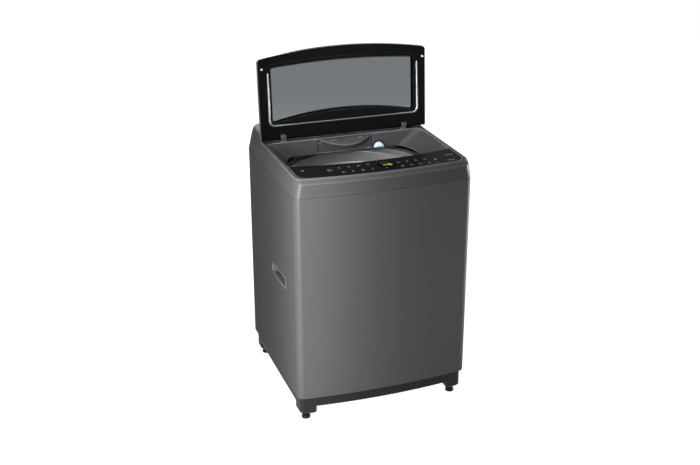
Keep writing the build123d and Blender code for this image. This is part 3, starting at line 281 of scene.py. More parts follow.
def brushGroup():  # lines left by rolling and turning, drawn out along the sheet
    tree, given, made = newGroup("brushLines", {"Scale": 260.0}, grainOutputs)
    mapping = put(tree, "ShaderNodeMapping", {"Scale": brushSettings["draw"]}, {"Vector": skinPlace(tree)})
    drawn = mapping.outputs[0]
    lines = noise(tree, drawn, given["Scale"], brushSettings["lineDetail"], brushSettings["lineRough"])
    bands = noise(tree, drawn, brushSettings["band"], brushSettings["bandDetail"])
    tree.links.new(ranged(tree, lines, *noiseReach), made["Shade"])
    tree.links.new(ranged(tree, bands, *noiseReach), made["Gloss"])
    tree.links.new(lines, made["Height"])
    return tree


castSettings = {"blotch": 18.0, "blotchDetail": 5.0, "pebbles": (0.0, 0.8)}


def castGroup():  # pebbled skin of die castings and rough rubber
    tree, given, made = newGroup("castSkin", {"Scale": 350.0}, grainOutputs)
    place = skinPlace(tree)
    cellLinks = {"Vector": place, "Scale": given["Scale"]}
    pebble = put(tree, "ShaderNodeTexVoronoi", {"feature": "SMOOTH_F1"}, cellLinks).outputs["Distance"]
    blotch = noise(tree, place, castSettings["blotch"], castSettings["blotchDetail"])
    tree.links.new(ranged(tree, blotch, *noiseReach), made["Shade"])
    tree.links.new(ranged(tree, pebble, *castSettings["pebbles"]), made["Gloss"])
    tree.links.new(pebble, made["Height"])
    return tree


dustSettings = {
    "colour": (0.36, 0.34, 0.31, 1.0),
    "dulling": 0.4,  # added to the roughness under full dust
    "upward": (0.6, 1.0),
    "drift": 14.0, "driftDetail": 6.0, "driftRough": 0.6, "driftReach": (0.42, 0.75),
}


def dustGroup():  # thin dust that settles where a surface faces up
    tree, given, made = newGroup("settledDust", {"Amount": 0.2}, {"Mask": "Float"})
    surface = put(tree, "ShaderNodeNewGeometry")
    lean = put(tree, "ShaderNodeSeparateXYZ", links={"Vector": surface.outputs["Normal"]})
    upward = ranged(tree, lean.outputs["Z"], *dustSettings["upward"])
    drifts = noise(
        tree, skinPlace(tree),
        dustSettings["drift"], dustSettings["driftDetail"], dustSettings["driftRough"],
    )
    drift = ranged(tree, drifts, *dustSettings["driftReach"])
    settled = mathNode(tree, "MULTIPLY", mathNode(tree, "MULTIPLY", upward, drift), given["Amount"])
    tree.links.new(settled, made["Mask"])
    return tree


grainGroups = {"mould": mouldGroup(), "flake": flakeGroup(), "brush": brushGroup(), "cast": castGroup()}
edgeWearAndHighlight = edgeGroup()
settledDust = dustGroup()


def blendColour(tree, share, first, second):
    node = put(tree, "ShaderNodeMix", {"data_type": "RGBA"})
    tree.links.new(share, node.inputs[0])
    for socket, value in ((node.inputs[6], first), (node.inputs[7], second)):  # its two colour sockets
        if isinstance(value, tuple):
            socket.default_value = value if len(value) == 4 else value + (1.0,)
        else:
            tree.links.new(value, socket)
    return node.outputs[2]


def makeFinish(name, finish):
    material = bpy.data.materials.new(name)
    material.use_nodes = True
    tree = material.node_tree
    shader = tree.nodes["Principled BSDF"]
    grain = put(tree, "ShaderNodeGroup", {"node_tree": grainGroups[finish["grain"]]})
    grain.inputs["Scale"].default_value = finish["scale"]
    colour = blendColour(tree, grain.outputs["Shade"], finish["dark"], finish["light"])
    edge = put(tree, "ShaderNodeGroup", {"node_tree": edgeWearAndHighlight})
    edge.inputs["Width"].default_value = finish["edge"]
    edge.inputs["Upward"].default_value = finish.get("upward", 0.0)
    edge.inputs["Even"].default_value = finish.get("even", 0.0)
    # lightens masked edges: rubbed wear, and a painted highlight where the finish asks for it
    rubAndHighlight = mathNode(tree, "MULTIPLY", edge.outputs["Mask"], finish["rubAndHighlight"])
    colour = blendColour(tree, rubAndHighlight, colour, finish["rubbedAndHighlit"])
    roughness = ranged(tree, grain.outputs["Gloss"], 0.0, 1.0, *finish["rough"])
    if finish.get("dust"):
        dust = put(tree, "ShaderNodeGroup", {"node_tree": settledDust})
        dust.inputs["Amount"].default_value = finish["dust"]
        colour = blendColour(tree, dust.outputs["Mask"], colour, dustSettings["colour"])
        dulled = mathNode(tree, "MULTIPLY", dust.outputs["Mask"], dustSettings["dulling"])
        roughness = mathNode(tree, "ADD", roughness, dulled)
    tree.links.new(colour, shader.inputs["Base Color"])
    tree.links.new(roughness, shader.inputs["Roughness"])
    bump = put(
        tree,
        "ShaderNodeBump",
        {"Strength": finish["bump"], "Distance": finish["depth"]},
        {"Height": grain.outputs["Height"], "Normal": edge.outputs["Normal"]},
    )
    tree.links.new(bump.outputs[0], shader.inputs["Normal"])
    for socket, value in finish.get("shader", {}).items():
        shader.inputs[socket].default_value = value
    return material


def dress(material, *names):
    for name in names:
        for slot in cadNodes[name].material_slots:
            slot.material = material


cabinetFinish = {
    "grain": "flake", "scale": 1400.0,
    "dark": (0.0585, 0.0588, 0.0595), "light": (0.0735, 0.0738, 0.0748),
    "rough": (0.3, 0.36), "bump": 0.02, "depth": 0.0004,
    "edge": 0.0015, "rubAndHighlight": 0.5, "rubbedAndHighlit": (0.14, 0.14, 0.145),
    "dust": 0.05,
    "shader": {
        "Metallic": 0.24, "Specular IOR Level": 0.0, "Specular Tint": (0.0, 0.0, 0.0, 1.0),
        "Coat Weight": 0.1, "Coat Roughness": 0.17,
    },
}
dress(makeFinish("cabinetPaint", cabinetFinish), "cabinet_shell", "rear_panel")

# painted light: the grip has the cabinet's paint but is drawn lighter to offset the shade in its recess,
# with a painted highlight round its rim
gripLightenedFinish = cabinetFinish | {
    "dark": (0.12, 0.121, 0.124), "light": (0.15, 0.151, 0.155),
    "edge": 0.003, "rubAndHighlight": 0.9, "rubbedAndHighlit": (0.26, 0.26, 0.265),
}
dress(makeFinish("gripPaintLightened", gripLightenedFinish), "carry_grip_left", "carry_grip_right")

coverFinish = cabinetFinish | {
    "scale": 1100.0,
    "dark": (0.046, 0.047, 0.049), "light": (0.059, 0.06, 0.063),
    "rough": (0.42, 0.52),
    # painted highlight: the cover's up-facing edges are lightened in an unbroken line along the crest
    "edge": 0.008, "rubAndHighlight": 0.9, "rubbedAndHighlit": (0.24, 0.24, 0.245), "upward": 1.0, "even": 0.7,
    "shader": {"Metallic": 0.05, "Specular IOR Level": 0.0, "Coat Weight": 0.14, "Coat Roughness": 0.24},
}
dress(makeFinish("coverPlastic", coverFinish), "top_cover", "detergent_drawer")

baseFinish = {
    "grain": "mould", "scale": 850.0,
    "dark": (0.0062, 0.0063, 0.0066), "light": (0.012, 0.0122, 0.0127),
    "rough": (0.48, 0.62), "bump": 0.22, "depth": 0.0003,
    "edge": 0.0014, "rubAndHighlight": 0.5, "rubbedAndHighlit": (0.04, 0.04, 0.042),
    "dust": 0.06,
    "shader": {"Specular IOR Level": 0.14},
}
basePlastic = makeFinish("basePlastic", baseFinish)
dress(basePlastic, "base_frame", "rod_seats", "corner_brackets")

corners = ("front_left", "front_right", "back_left", "back_right")
footFinish = baseFinish | {
    "dark": (0.005, 0.005, 0.0053), "light": (0.01, 0.01, 0.0105), "rough": (0.5, 0.66),
}
dress(makeFinish("footPlastic", footFinish), *("levelling_foot_" + corner for corner in corners))

panelFinish = {
    "grain": "mould", "scale": 420.0,
    "dark": (0.0055, 0.0056, 0.006), "light": (0.0085, 0.0086, 0.009),
    "rough": (0.3, 0.38), "bump": 0.012, "depth": 0.0002,
    "edge": 0.0012, "rubAndHighlight": 0.4, "rubbedAndHighlit": (0.03, 0.03, 0.032),
    "shader": {"Specular IOR Level": 0.006, "Specular Tint": (0.4, 0.4, 0.4, 1.0)},
}
dress(makeFinish("panelGloss", panelFinish), "control_panel")

displayFinish = panelFinish | {
    "dark": (0.0022, 0.0024, 0.0024), "light": (0.0036, 0.0038, 0.0038), "rough": (0.2, 0.28),
}
dress(makeFinish("displayGloss", displayFinish), "display_window")

lidFinish = {
    "grain": "mould", "scale": 500.0,
    "dark": (0.0022, 0.0023, 0.0026), "light": (0.0042, 0.0043, 0.0047),
    "rough": (0.2, 0.3), "bump": 0.015, "depth": 0.0002,
    # painted highlight: the lid's edges are lightened into a thin light line
    "edge": 0.0022, "rubAndHighlight": 0.7, "rubbedAndHighlit": (0.07, 0.07, 0.073),
    "dust": 0.01,
    "shader": {"Specular IOR Level": 0.03},
}
dress(makeFinish("lidPlastic", lidFinish), "lid_frame", "lid_inner_frame")

rubberFinish = {
    "grain": "cast", "scale": 700.0,
    "dark": (0.42, 0.42, 0.41), "light": (0.6, 0.6, 0.59),
    "rough": (0.5, 0.65), "bump": 0.1, "depth": 0.0002,
    "edge": 0.001, "rubAndHighlight": 0.2, "rubbedAndHighlit": (0.7, 0.7, 0.69),
}
dress(makeFinish("bumperRubber", rubberFinish), "lid_bumpers")

nozzleFinish = {
    "grain": "mould", "scale": 700.0,
    "dark": (0.42, 0.6, 0.8), "light": (0.5, 0.68, 0.87),
    "rough": (0.25, 0.36), "bump": 0.05, "depth": 0.0002,
    "edge": 0.001, "rubAndHighlight": 0.3, "rubbedAndHighlit": (0.6, 0.75, 0.9),
    "dust": 0.05,
    "shader": {
        "Subsurface Weight": 0.15, "Subsurface Radius": (0.004, 0.005, 0.006), "Subsurface Scale": 1.0,
    },
}
dress(makeFinish("nozzlePlastic", nozzleFinish), "spray_nozzle")

steelFinish = {
    "grain": "brush", "scale": 260.0,
    "dark": (0.52, 0.52, 0.52), "light": (0.68, 0.68, 0.675),
    "rough": (0.34, 0.46), "bump": 0.04, "depth": 0.0002,
    "edge": 0.001, "rubAndHighlight": 0.3, "rubbedAndHighlit": (0.75, 0.75, 0.74),
    "shader": {"Metallic": 1.0},
}
drumSteel = makeFinish("drumSteel", steelFinish)
dress(drumSteel, "drum_wall")
shaftFinish = steelFinish | {"scale": 420.0, "rough": (0.18, 0.3)}
dress(
    makeFinish("shaftSteel", shaftFinish),
    "spin_shaft", "wash_shaft", "hinge_pins", "upper_bearing", "lower_bearing",
)
fastenerFinish = steelFinish | {
    "dark": (0.3, 0.3, 0.3), "light": (0.46, 0.46, 0.45), "rough": (0.28, 0.42),
}
rodNames = ["suspension_rod_" + corner for corner in corners]
dress(
    makeFinish("fastenerSteel", fastenerFinish),
    "panel_screws", "pulsator_screw", "lock_nuts", "rotor_nut", *rodNames,
)
springFinish = fastenerFinish | {"dark": (0.2, 0.2, 0.205), "light": (0.34, 0.34, 0.345)}
springSteel = makeFinish("springSteel", springFinish)
springNames = ["suspension_spring_" + corner for corner in corners]
dress(springSteel, *springNames)

alloyFinish = {
    "grain": "cast", "scale": 420.0,
    "dark": (0.36, 0.36, 0.37), "light": (0.5, 0.5, 0.51),
    "rough": (0.35, 0.55), "bump": 0.18, "depth": 0.0003,
    "edge": 0.0012, "rubAndHighlight": 0.4, "rubbedAndHighlit": (0.7, 0.7, 0.7),
    "shader": {"Metallic": 1.0},
}
dress(makeFinish("castAlloy", alloyFinish), "drum_base", "bearing_housing")
ironFinish = alloyFinish | {"dark": (0.12, 0.12, 0.125), "light": (0.2, 0.2, 0.205)}
dress(makeFinish("motorIron", ironFinish), "stator")
rotorFinish = baseFinish | {
    "grain": "cast", "scale": 300.0, "dark": (0.05, 0.05, 0.055), "light": (0.08, 0.08, 0.085),
}
dress(makeFinish("rotorPaint", rotorFinish), "rotor")

tubFinish = {
    "grain": "mould", "scale": 700.0,
    "dark": (0.32, 0.33, 0.34), "light": (0.42, 0.43, 0.44),
    "rough": (0.42, 0.56), "bump": 0.16, "depth": 0.0003,
    "edge": 0.0015, "rubAndHighlight": 0.3, "rubbedAndHighlit": (0.55, 0.56, 0.57),
    "dust": 0.15,
}
dress(makeFinish("tubPlastic", tubFinish), "outer_tub")
ringFinish = tubFinish | {
    "dark": (0.13, 0.131, 0.134), "light": (0.18, 0.181, 0.185), "rubbedAndHighlit": (0.3, 0.3, 0.305), "dust": 0.04,
}
dress(makeFinish("ringPlastic", ringFinish), "tub_cover")
balanceFinish = steelFinish | {
    "dark": (0.26, 0.26, 0.262), "light": (0.4, 0.4, 0.402), "rough": (0.3, 0.42),
    "shader": {"Metallic": 0.45},
}
dress(makeFinish("balancePlastic", balanceFinish), "balance_ring")
pulsatorFinish = tubFinish | {
    "dark": (0.14, 0.145, 0.15), "light": (0.2, 0.205, 0.21), "rough": (0.3, 0.42), "dust": 0.03,
}
dress(makeFinish("pulsatorPlastic", pulsatorFinish), "pulsator", "lint_filters")
housingFinish = tubFinish | {"dark": (0.2, 0.2, 0.205), "light": (0.28, 0.28, 0.285)}
dress(makeFinish("housingPlastic", housingFinish), "drawer_housing", "lid_lock", "level_sensor")
boardFinish = tubFinish | {"dark": (0.4, 0.41, 0.4), "light": (0.5, 0.51, 0.5)}
dress(makeFinish("boardPlastic", boardFinish), "control_board", "main_board")

fittingFinish = baseFinish | {
    "dark": (0.5, 0.5, 0.49), "light": (0.62, 0.62, 0.61), "rubbedAndHighlit": (0.75, 0.75, 0.74),
}
fittingPlastic = makeFinish("fittingPlastic", fittingFinish)
dress(fittingPlastic, "inlet_valve_hot", "inlet_valve_cold", "drain_pump")
darkFinish = fittingFinish | {
    "dark": (0.03, 0.03, 0.031), "light": (0.05, 0.05, 0.051), "rubbedAndHighlit": (0.1, 0.1, 0.1),
}
dress(makeFinish("darkFitting", darkFinish), "drain_outlet", "cord_gland")
sealFinish = rubberFinish | {
    "dark": (0.012, 0.012, 0.012), "light": (0.025, 0.025, 0.025), "rubbedAndHighlit": (0.05, 0.05, 0.05),
}
sealRubber = makeFinish("sealRubber", sealFinish)
dress(sealRubber, "shaft_seal", "drain_bellows", "drain_hose")

glassSettings = {"colour": (0.138, 0.158, 0.167, 1.0), "rough": (0.01, 0.03), "ior": 1.46, "smear": 90.0}
glassMaterial = bpy.data.materials.new("lidGlass")
glassMaterial.use_nodes = True
glassTree = glassMaterial.node_tree
glassShader = glassTree.nodes["Principled BSDF"]
glassShader.inputs["Base Color"].default_value = glassSettings["colour"]
glassShader.inputs["Transmission Weight"].default_value = 1.0
glassShader.inputs["IOR"].default_value = glassSettings["ior"]
glassSmear = put(glassTree, "ShaderNodeGroup", {"node_tree": grainGroups["mould"]})
glassSmear.inputs["Scale"].default_value = glassSettings["smear"]
glassRough = ranged(glassTree, glassSmear.outputs["Gloss"], 0.0, 1.0, *glassSettings["rough"])
glassTree.links.new(glassRough, glassShader.inputs["Roughness"])
dress(glassMaterial, "lid_glass")
print("finishes made:", len(bpy.data.materials))


def addPiece(name, shape, material, body, smooth=True):
    mesh = bpy.data.meshes.new(name)
    mesh.from_pydata(shape["points"], [], shape["faces"])
    mesh.update()
    if smooth:
        mesh.shade_smooth()
    mesh.materials.append(material)
    piece = bpy.data.objects.new(name, mesh)
    scene.collection.objects.link(piece)
    if body:  # a piece that blends between two bodies rides on neither
        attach(piece, body)
    return piece


def newShape():
    return {"points": [], "faces": []}


def prism(shape, outline, low, high, place):  # a flat outline drawn up from low to high
    start, count = len(shape["points"]), len(outline)
    for level in (low, high):
        shape["points"].extend(place(x, y, level) for x, y in outline)
    shape["faces"].append([start + i for i in reversed(range(count))])
    shape["faces"].append([start + count + i for i in range(count)])
    for i in range(count):
        j = (i + 1) % count
        shape["faces"].append([start + i, start + j, start + count + j, start + count + i])


def arcPoints(x, y, radius, first, last, steps):
    angles = [math.radians(first + (last - first) * i / steps) for i in range(steps + 1)]
    return [(x + radius * math.cos(a), y + radius * math.sin(a)) for a in angles]


def disc(x, y, radius, sides=12):
    return arcPoints(x, y, radius, 0, 360 - 360 / sides, sides - 1)


def pill(x, y, width, height, steps=6):
    radius, reach = height / 2, (width - height) / 2
    return arcPoints(x + reach, y, radius, -90, 90, steps) + arcPoints(x - reach, y, radius, 90, 270, steps)


def ringPrism(shape, x, y, inner, outer, low, high, place, last=360, steps=32):
    sweep = arcPoints(x, y, outer, 0, last, steps)
    back = arcPoints(x, y, inner, 0, last, steps)
    for i in range(steps):
        prism(shape, [sweep[i], sweep[i + 1], back[i + 1], back[i]], low, high, place)


def joinRings(shape, start, rings, sides, closed):  # faces between rings of points that follow each other
    for i in range(rings if closed else rings - 1):
        j = (i + 1) % rings
        for k in range(sides):
            m = (k + 1) % sides
            quad = ((i, k), (j, k), (j, m), (i, m))
            shape["faces"].append([start + ring * sides + side for ring, side in quad])


def tube(shape, path, radii, sides):  # a round bead along a line of points
    start, count = len(shape["points"]), len(path)
    for i, point in enumerate(path):
        run = (path[min(i + 1, count - 1)] - path[max(i - 1, 0)]).normalized()
        across = run.cross(Vector((0.0, 0.0, 1.0)))
        if across.length < 0.05:  # the run is nearly upright
            across = run.cross(Vector((1.0, 0.0, 0.0)))
        across.normalize()
        rise = across.cross(run)
        for k in range(sides):
            a = 2 * math.pi * k / sides
            shape["points"].append(point + radii[i] * (math.cos(a) * across + math.sin(a) * rise))
    joinRings(shape, start, count, sides, False)
    shape["faces"].append([start + k for k in range(sides)])
    shape["faces"].append([start + (count - 1) * sides + k for k in reversed(range(sides))])


def revolve(shape, profile, x, y, steps):  # a closed profile of (radius, height) turned about Z
    start = len(shape["points"])
    for i in range(steps):
        a = 2 * math.pi * i / steps
        shape["points"].extend((x + r * math.cos(a), y + r * math.sin(a), z) for r, z in profile)
    joinRings(shape, start, steps, len(profile), True)


def meshTree(name):
    mesh = cadNodes[name].data
    return BVHTree.FromPolygons([v.co for v in mesh.vertices], [list(p.vertices) for p in mesh.polygons])


# Printed keys on the touch panel, in millimetres from the middle of the machine
keySettings = {
    "blocks": (  # columns, rows
        ((-150, -113, -76, -39), (-239, -288)),
        ((75, 110, 145, 180), (-250, -294)),
    ),
    "bar": (13, 2.4), "barDrop": 5, "barShorter": 3,
    "dot": 2.2, "dotRise": 3,
    "ring": (2.6, 3.6), "ringRise": 3.5, "ringSteps": 20,
    "start": (-190, -254), "startRing": (8.6, 10.0), "startArrow": ((-3, -3.6), (4, 0), (-3, 3.6)),
    "pills": ((-284, -228, 13, 6.4), (206, -304, 9, 2.4)),
    "square": ((213, -270), (221, -270), (221, -262), (213, -262)),
    "ends": ((281, -234), (264, -291)), "endBar": (22, 2.6), "endDot": 3.0, "endDotAside": 17,
    "sink": -0.05, "lift": 0.12,
}
printFinish = {
    "grain": "mould", "scale": 1500.0,
    "dark": (0.2, 0.2, 0.2), "light": (0.3, 0.3, 0.3),
    "rough": (0.4, 0.5), "bump": 0.02, "depth": 0.0001,
    "edge": 0.0001, "rubAndHighlight": 0.0, "rubbedAndHighlit": (0.3, 0.3, 0.3),
}
panelPrint = makeFinish("panelPrint", printFinish)
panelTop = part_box("control_panel")[1].z


def onPanel(x, y, height):
    return (x * mm, y * mm, panelTop + height * mm)


def printMark(shape, outline, lift=keySettings["lift"]):
    prism(shape, outline, keySettings["sink"], lift, onPanel)


def printRing(shape, x, y, reach, steps=32):
    ringPrism(shape, x, y, *reach, keySettings["sink"], keySettings["lift"], onPanel, steps=steps)


keyMarks = newShape()
barWidth, barHeight = keySettings["bar"]
for columns, rows in keySettings["blocks"]:
    for row, keyY in enumerate(rows):
        for column, keyX in enumerate(columns):
            shorter = keySettings["barShorter"] * (column % 2)
            printMark(keyMarks, pill(keyX, keyY - keySettings["barDrop"], barWidth - shorter, barHeight))
            if (row + column) % 2:
                ringY = keyY + keySettings["ringRise"]
                printRing(keyMarks, keyX, ringY, keySettings["ring"], keySettings["ringSteps"])
            else:
                printMark(keyMarks, disc(keyX, keyY + keySettings["dotRise"], keySettings["dot"]))
startX, startY = keySettings["start"]
printRing(keyMarks, startX, startY, keySettings["startRing"])
printMark(keyMarks, [(startX + x, startY + y) for x, y in keySettings["startArrow"]])
printMark(keyMarks, keySettings["square"])
for pillMark in keySettings["pills"]:
    printMark(keyMarks, pill(*pillMark))
for endX, endY in keySettings["ends"]:
    printMark(keyMarks, pill(endX, endY, *keySettings["endBar"]))
    printMark(keyMarks, disc(endX + keySettings["endDotAside"], endY, keySettings["endDot"]))
addPiece("panel_key_marks", keyMarks, panelPrint, "cabinet", smooth=False)

# Seven-bar numbers behind the round window
digitSettings = {
    "text": (1, 4, 6), "left": 4.5, "middle": -264.0, "width": 8.6, "height": 16.0,
    "bar": 2.1, "pitch": 14.0, "slant": 0.12, "lift": 0.1, "glow": 0.6, "gap": 4.0,
    "colon": ((17.6, -267.5), (17.6, -260.5)), "colonDot": 1.2,
    "ticks": ((12, -240), (25, -237.5), (38, -240), (14, -293)), "tick": (7, 2.2),
}
digitBars = {1: "bc", 4: "fgbc", 6: "afgedc"}
litFinish = printFinish | {
    "dark": (0.5, 0.6, 0.02), "light": (0.6, 0.7, 0.04), "rubbedAndHighlit": (0.6, 0.7, 0.04),
    "shader": {"Emission Color": (0.55, 0.68, 0.03, 1.0), "Emission Strength": digitSettings["glow"]},
}
litPrint = makeFinish("litDigits", litFinish)


def barOutline(letter, x, y):
    w, h, b = digitSettings["width"], digitSettings["height"], digitSettings["bar"]
    half, thin = h / 2, b / 2
    level = {"a": h, "g": half, "d": 0.0}
    if letter in level:
        z = level[letter]
        shape = [
            (thin, z), (b, z + thin), (w - b, z + thin),
            (w - thin, z), (w - b, z - thin), (b, z - thin),
        ]
    else:
        side = w if letter in "bc" else 0.0
        foot = half if letter in "bf" else 0.0
        shape = [
            (side, foot + thin), (side + thin, foot + b), (side + thin, foot + half - b),
            (side, foot + half - thin), (side - thin, foot + half - b), (side - thin, foot + b),
        ]
    return [(x + px + (py - half) * digitSettings["slant"], y - half + py) for px, py in shape]


digits = newShape()
for place, number in enumerate(digitSettings["text"]):
    gap = digitSettings["gap"] if place else 0.0  # room for the colon after the first number
    digitX = digitSettings["left"] + place * digitSettings["pitch"] + gap
    for letter in digitBars[number]:
        printMark(digits, barOutline(letter, digitX, digitSettings["middle"]), digitSettings["lift"])
for colonX, colonY in digitSettings["colon"]:
    printMark(digits, disc(colonX, colonY, digitSettings["colonDot"]), digitSettings["lift"])
addPiece("display_digits", digits, litPrint, "cabinet", smooth=False)
windowTicks = newShape()
for tickX, tickY in digitSettings["ticks"]:
    printMark(windowTicks, pill(tickX, tickY, *digitSettings["tick"]))
addPiece("display_ticks", windowTicks, panelPrint, "cabinet", smooth=False)
print("panel marks drawn")

# Bead along the outer edge of the lid's inner frame, in millimetres on the open lid
beadSettings = {
    "hinge": (0.0, 0.129, 1.003), "lean": 4.4,  # metres, degrees
    "half": 303.5, "low": 48.0, "top": 252.0, "tip": 4.0, "face": 13.4,
    "corner": 20.0, "cornerSteps": 10,
    "side": 4.2, "foot": 2.4, "ease": 90.0,  # radii, and the length over which one turns into the other
    "sides": 14,
}
lidLean = math.radians(beadSettings["lean"])
lidUp = Vector((0.0, math.sin(lidLean), math.cos(lidLean)))
lidOut = Vector((0.0, -math.cos(lidLean), math.sin(lidLean)))
lidOrigin = Vector(beadSettings["hinge"])


def onLid(x, along, out):
    return lidOrigin + Vector((x * mm, 0, 0)) + along * mm * lidUp + out * mm * lidOut


half, low, top = beadSettings["half"], beadSettings["low"], beadSettings["top"]
bend, bendSteps, ease = beadSettings["corner"], beadSettings["cornerSteps"], beadSettings["ease"]
loop = [(-half, top), (-half, top - beadSettings["tip"])]
loop += arcPoints(-half + bend, low + bend, bend, 180, 270, bendSteps)
loop += [(-half + bend + ease, low), (half - bend - ease, low)]
loop += arcPoints(half - bend, low + bend, bend, 270, 360, bendSteps)
loop += [(half, top - beadSettings["tip"]), (half, top)]
slim = half - bend - ease / 2
beadRadii = [(beadSettings["side"] if abs(x) > slim else beadSettings["foot"]) * mm for x, along in loop]
beadPath = [onLid(x, along, beadSettings["face"]) for x, along in loop]
bead = newShape()
tube(bead, beadPath, beadRadii, beadSettings["sides"])
# painted highlight: the rib is the lid's black plastic, drawn as a light metallic grey so it shows as a
# bright line
ribHighlightFinish = lidFinish | {
    "dark": (0.16, 0.16, 0.165), "light": (0.2, 0.2, 0.205), "rough": (0.14, 0.2),
    "shader": {"Metallic": 0.7, "Coat Weight": 1.0, "Coat Roughness": 0.08},
}
addPiece("lid_bead", bead, makeFinish("ribPaintedHighlight", ribHighlightFinish), "lid")
print("lid bead laid")

# Pierced and dimpled drum sheet, plain under the balance ring
drumSettings = {
    "radius": 256.4, "low": 362.2, "high": 835.8, "columns": 76, "rows": 22, "plain": 3, "sheet": 0.7,
    "hole": 2.3,
    "dimple": 2.4, "dimpleRings": ((6.8, 0.0), (4.8, 0.8), (2.2, 1.0)),  # radius, share of the depth
}
drumAxisY = (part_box("drum_wall")[0].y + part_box("drum_wall")[1].y) / 2
drum = newShape()
halfTurn = math.pi / drumSettings["columns"]  # half a cell each way
halfRise = (drumSettings["high"] - drumSettings["low"]) / drumSettings["rows"] / 2
aroundCell = ((-1, -1), (0, -1), (1, -1), (1, 0), (1, 1), (0, 1), (-1, 1), (-1, 0))
gridIndex = {}


def drumPoint(turn, height, inward=0.0):
    reach = (drumSettings["radius"] - inward) * mm
    return (reach * math.sin(turn), drumAxisY - reach * math.cos(turn), height * mm)


def gridPoint(column, row):  # half-cell grid, shared between neighbouring cells
    key = (column % (2 * drumSettings["columns"]), row)
    if key not in gridIndex:
        gridIndex[key] = len(drum["points"])
        drum["points"].append(drumPoint(key[0] * halfTurn, drumSettings["low"] + row * halfRise))
    return gridIndex[key]


def cellRing(turn, height, ringRadius, inward):
    ringStart = len(drum["points"])
    for dx, dz in aroundCell:
        a = math.atan2(dz, dx)
        sideways = ringRadius * math.cos(a) / drumSettings["radius"]
        drum["points"].append(drumPoint(turn + sideways, height + ringRadius * math.sin(a), inward))
    return [ringStart + k for k in range(len(aroundCell))]


for row in range(drumSettings["rows"]):
    for column in range(drumSettings["columns"]):
        midColumn, midRow = 2 * column + 1, 2 * row + 1
        previous = [gridPoint(midColumn + dx, midRow + dz) for dx, dz in aroundCell]
        plain = row >= drumSettings["rows"] - drumSettings["plain"]
        dimpled = not plain and (row + column) % 2 == 0
        if plain:
            rings = ()
        elif dimpled:
            rings = [(r, share * drumSettings["dimple"]) for r, share in drumSettings["dimpleRings"]]
        else:
            rings = ((drumSettings["hole"], 0.0),)
        for ringRadius, inward in rings:
            height = drumSettings["low"] + midRow * halfRise
            current = cellRing(midColumn * halfTurn, height, ringRadius, inward)
            for k in range(len(aroundCell)):
                m = (k + 1) % len(aroundCell)
                drum["faces"].append([previous[k], previous[m], current[m], current[k]])
            previous = current
        if plain or dimpled:
            drum["faces"].append(previous)
drumSheet = addPiece("drum_sheet", drum, drumSteel, "drum")
sheetWall = drumSheet.modifiers.new("sheetWall", "SOLIDIFY")
sheetWall.thickness = drumSettings["sheet"] * mm
sheetWall.offset = -1.0
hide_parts("drum_wall")
print("drum sheet pierced:", len(drum["faces"]), "faces")

# Wound springs and the folded drain bellows, which run between the cabinet and the tub, ride on neither
# body
springSettings = {"wire": 1.9, "turns": 9.5, "steps": 26, "flatEnd": 0.05, "sides": 8}
wire = springSettings["wire"] * mm
springCount = int(springSettings["turns"] * springSettings["steps"])
for springName in springNames:
    springLow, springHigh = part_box(springName)
    springX, springY = (springLow.x + springHigh.x) / 2, (springLow.y + springHigh.y) / 2
    coil = (springHigh.x - springLow.x) / 2 - wire
    path = []
    for i in range(springCount + 1):
        a = 2 * math.pi * i / springSettings["steps"]
        climb = (i / springCount - springSettings["flatEnd"]) / (1 - 2 * springSettings["flatEnd"])
        z = springLow.z + wire + min(max(climb, 0.0), 1.0) * (springHigh.z - springLow.z - 2 * wire)
        path.append(Vector((springX + coil * math.cos(a), springY + coil * math.sin(a), z)))
    wound = newShape()
    tube(wound, path, [wire] * len(path), springSettings["sides"])
    springPiece = addPiece(springName + "_coil", wound, springSteel, None)
    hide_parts(springName)
    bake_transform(springPiece)

bellowsSettings = {"folds": 11, "foldSteps": 4, "inner": 19.0, "wall": 1.6, "steps": 48}
bellowsLow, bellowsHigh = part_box("drain_bellows")
bellowsX, bellowsY = (bellowsLow.x + bellowsHigh.x) / 2, (bellowsLow.y + bellowsHigh.y) / 2
bellowsWall = bellowsSettings["wall"] * mm
valley = bellowsSettings["inner"] * mm + bellowsWall
foldRise = (bellowsHigh.x - bellowsLow.x) / 2 - valley
outside, inside = [], []
foldCount = bellowsSettings["folds"] * bellowsSettings["foldSteps"]
for i in range(foldCount + 1):
    z = bellowsLow.z + (bellowsHigh.z - bellowsLow.z) * i / foldCount
    swell = 0.5 - 0.5 * math.cos(2 * math.pi * i / bellowsSettings["foldSteps"])
    outside.append((valley + foldRise * swell, z))
    inside.append((valley + foldRise * swell - bellowsWall, z))
bellows = newShape()
revolve(bellows, outside + inside[::-1], bellowsX, bellowsY, bellowsSettings["steps"])
bellowsPiece = addPiece("drain_bellows_folds", bellows, sealRubber, None)
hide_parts("drain_bellows")
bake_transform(bellowsPiece)
print("springs and bellows wound")

# Dark seat round the nozzle, laid on the splash wall
seatSettings = {"gap": 0.4, "width": 6.0, "thick": 2.6, "steps": 32, "sightY": -150.0}
nozzleLow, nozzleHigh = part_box("spray_nozzle")
nozzleX, nozzleZ = (nozzleLow.x + nozzleHigh.x) / 2, nozzleLow.z
nozzleReach = (nozzleHigh.x - nozzleLow.x) / 2
wallTree = meshTree("top_cover")


def onSplash(x, z, out):  # a point on the wall behind the nozzle, brought forward
    sight = Vector((x * mm, seatSettings["sightY"] * mm, z * mm))
    return wallTree.ray_cast(sight, Vector((0, 1, 0)))[0] - Vector((0, out * mm, 0))


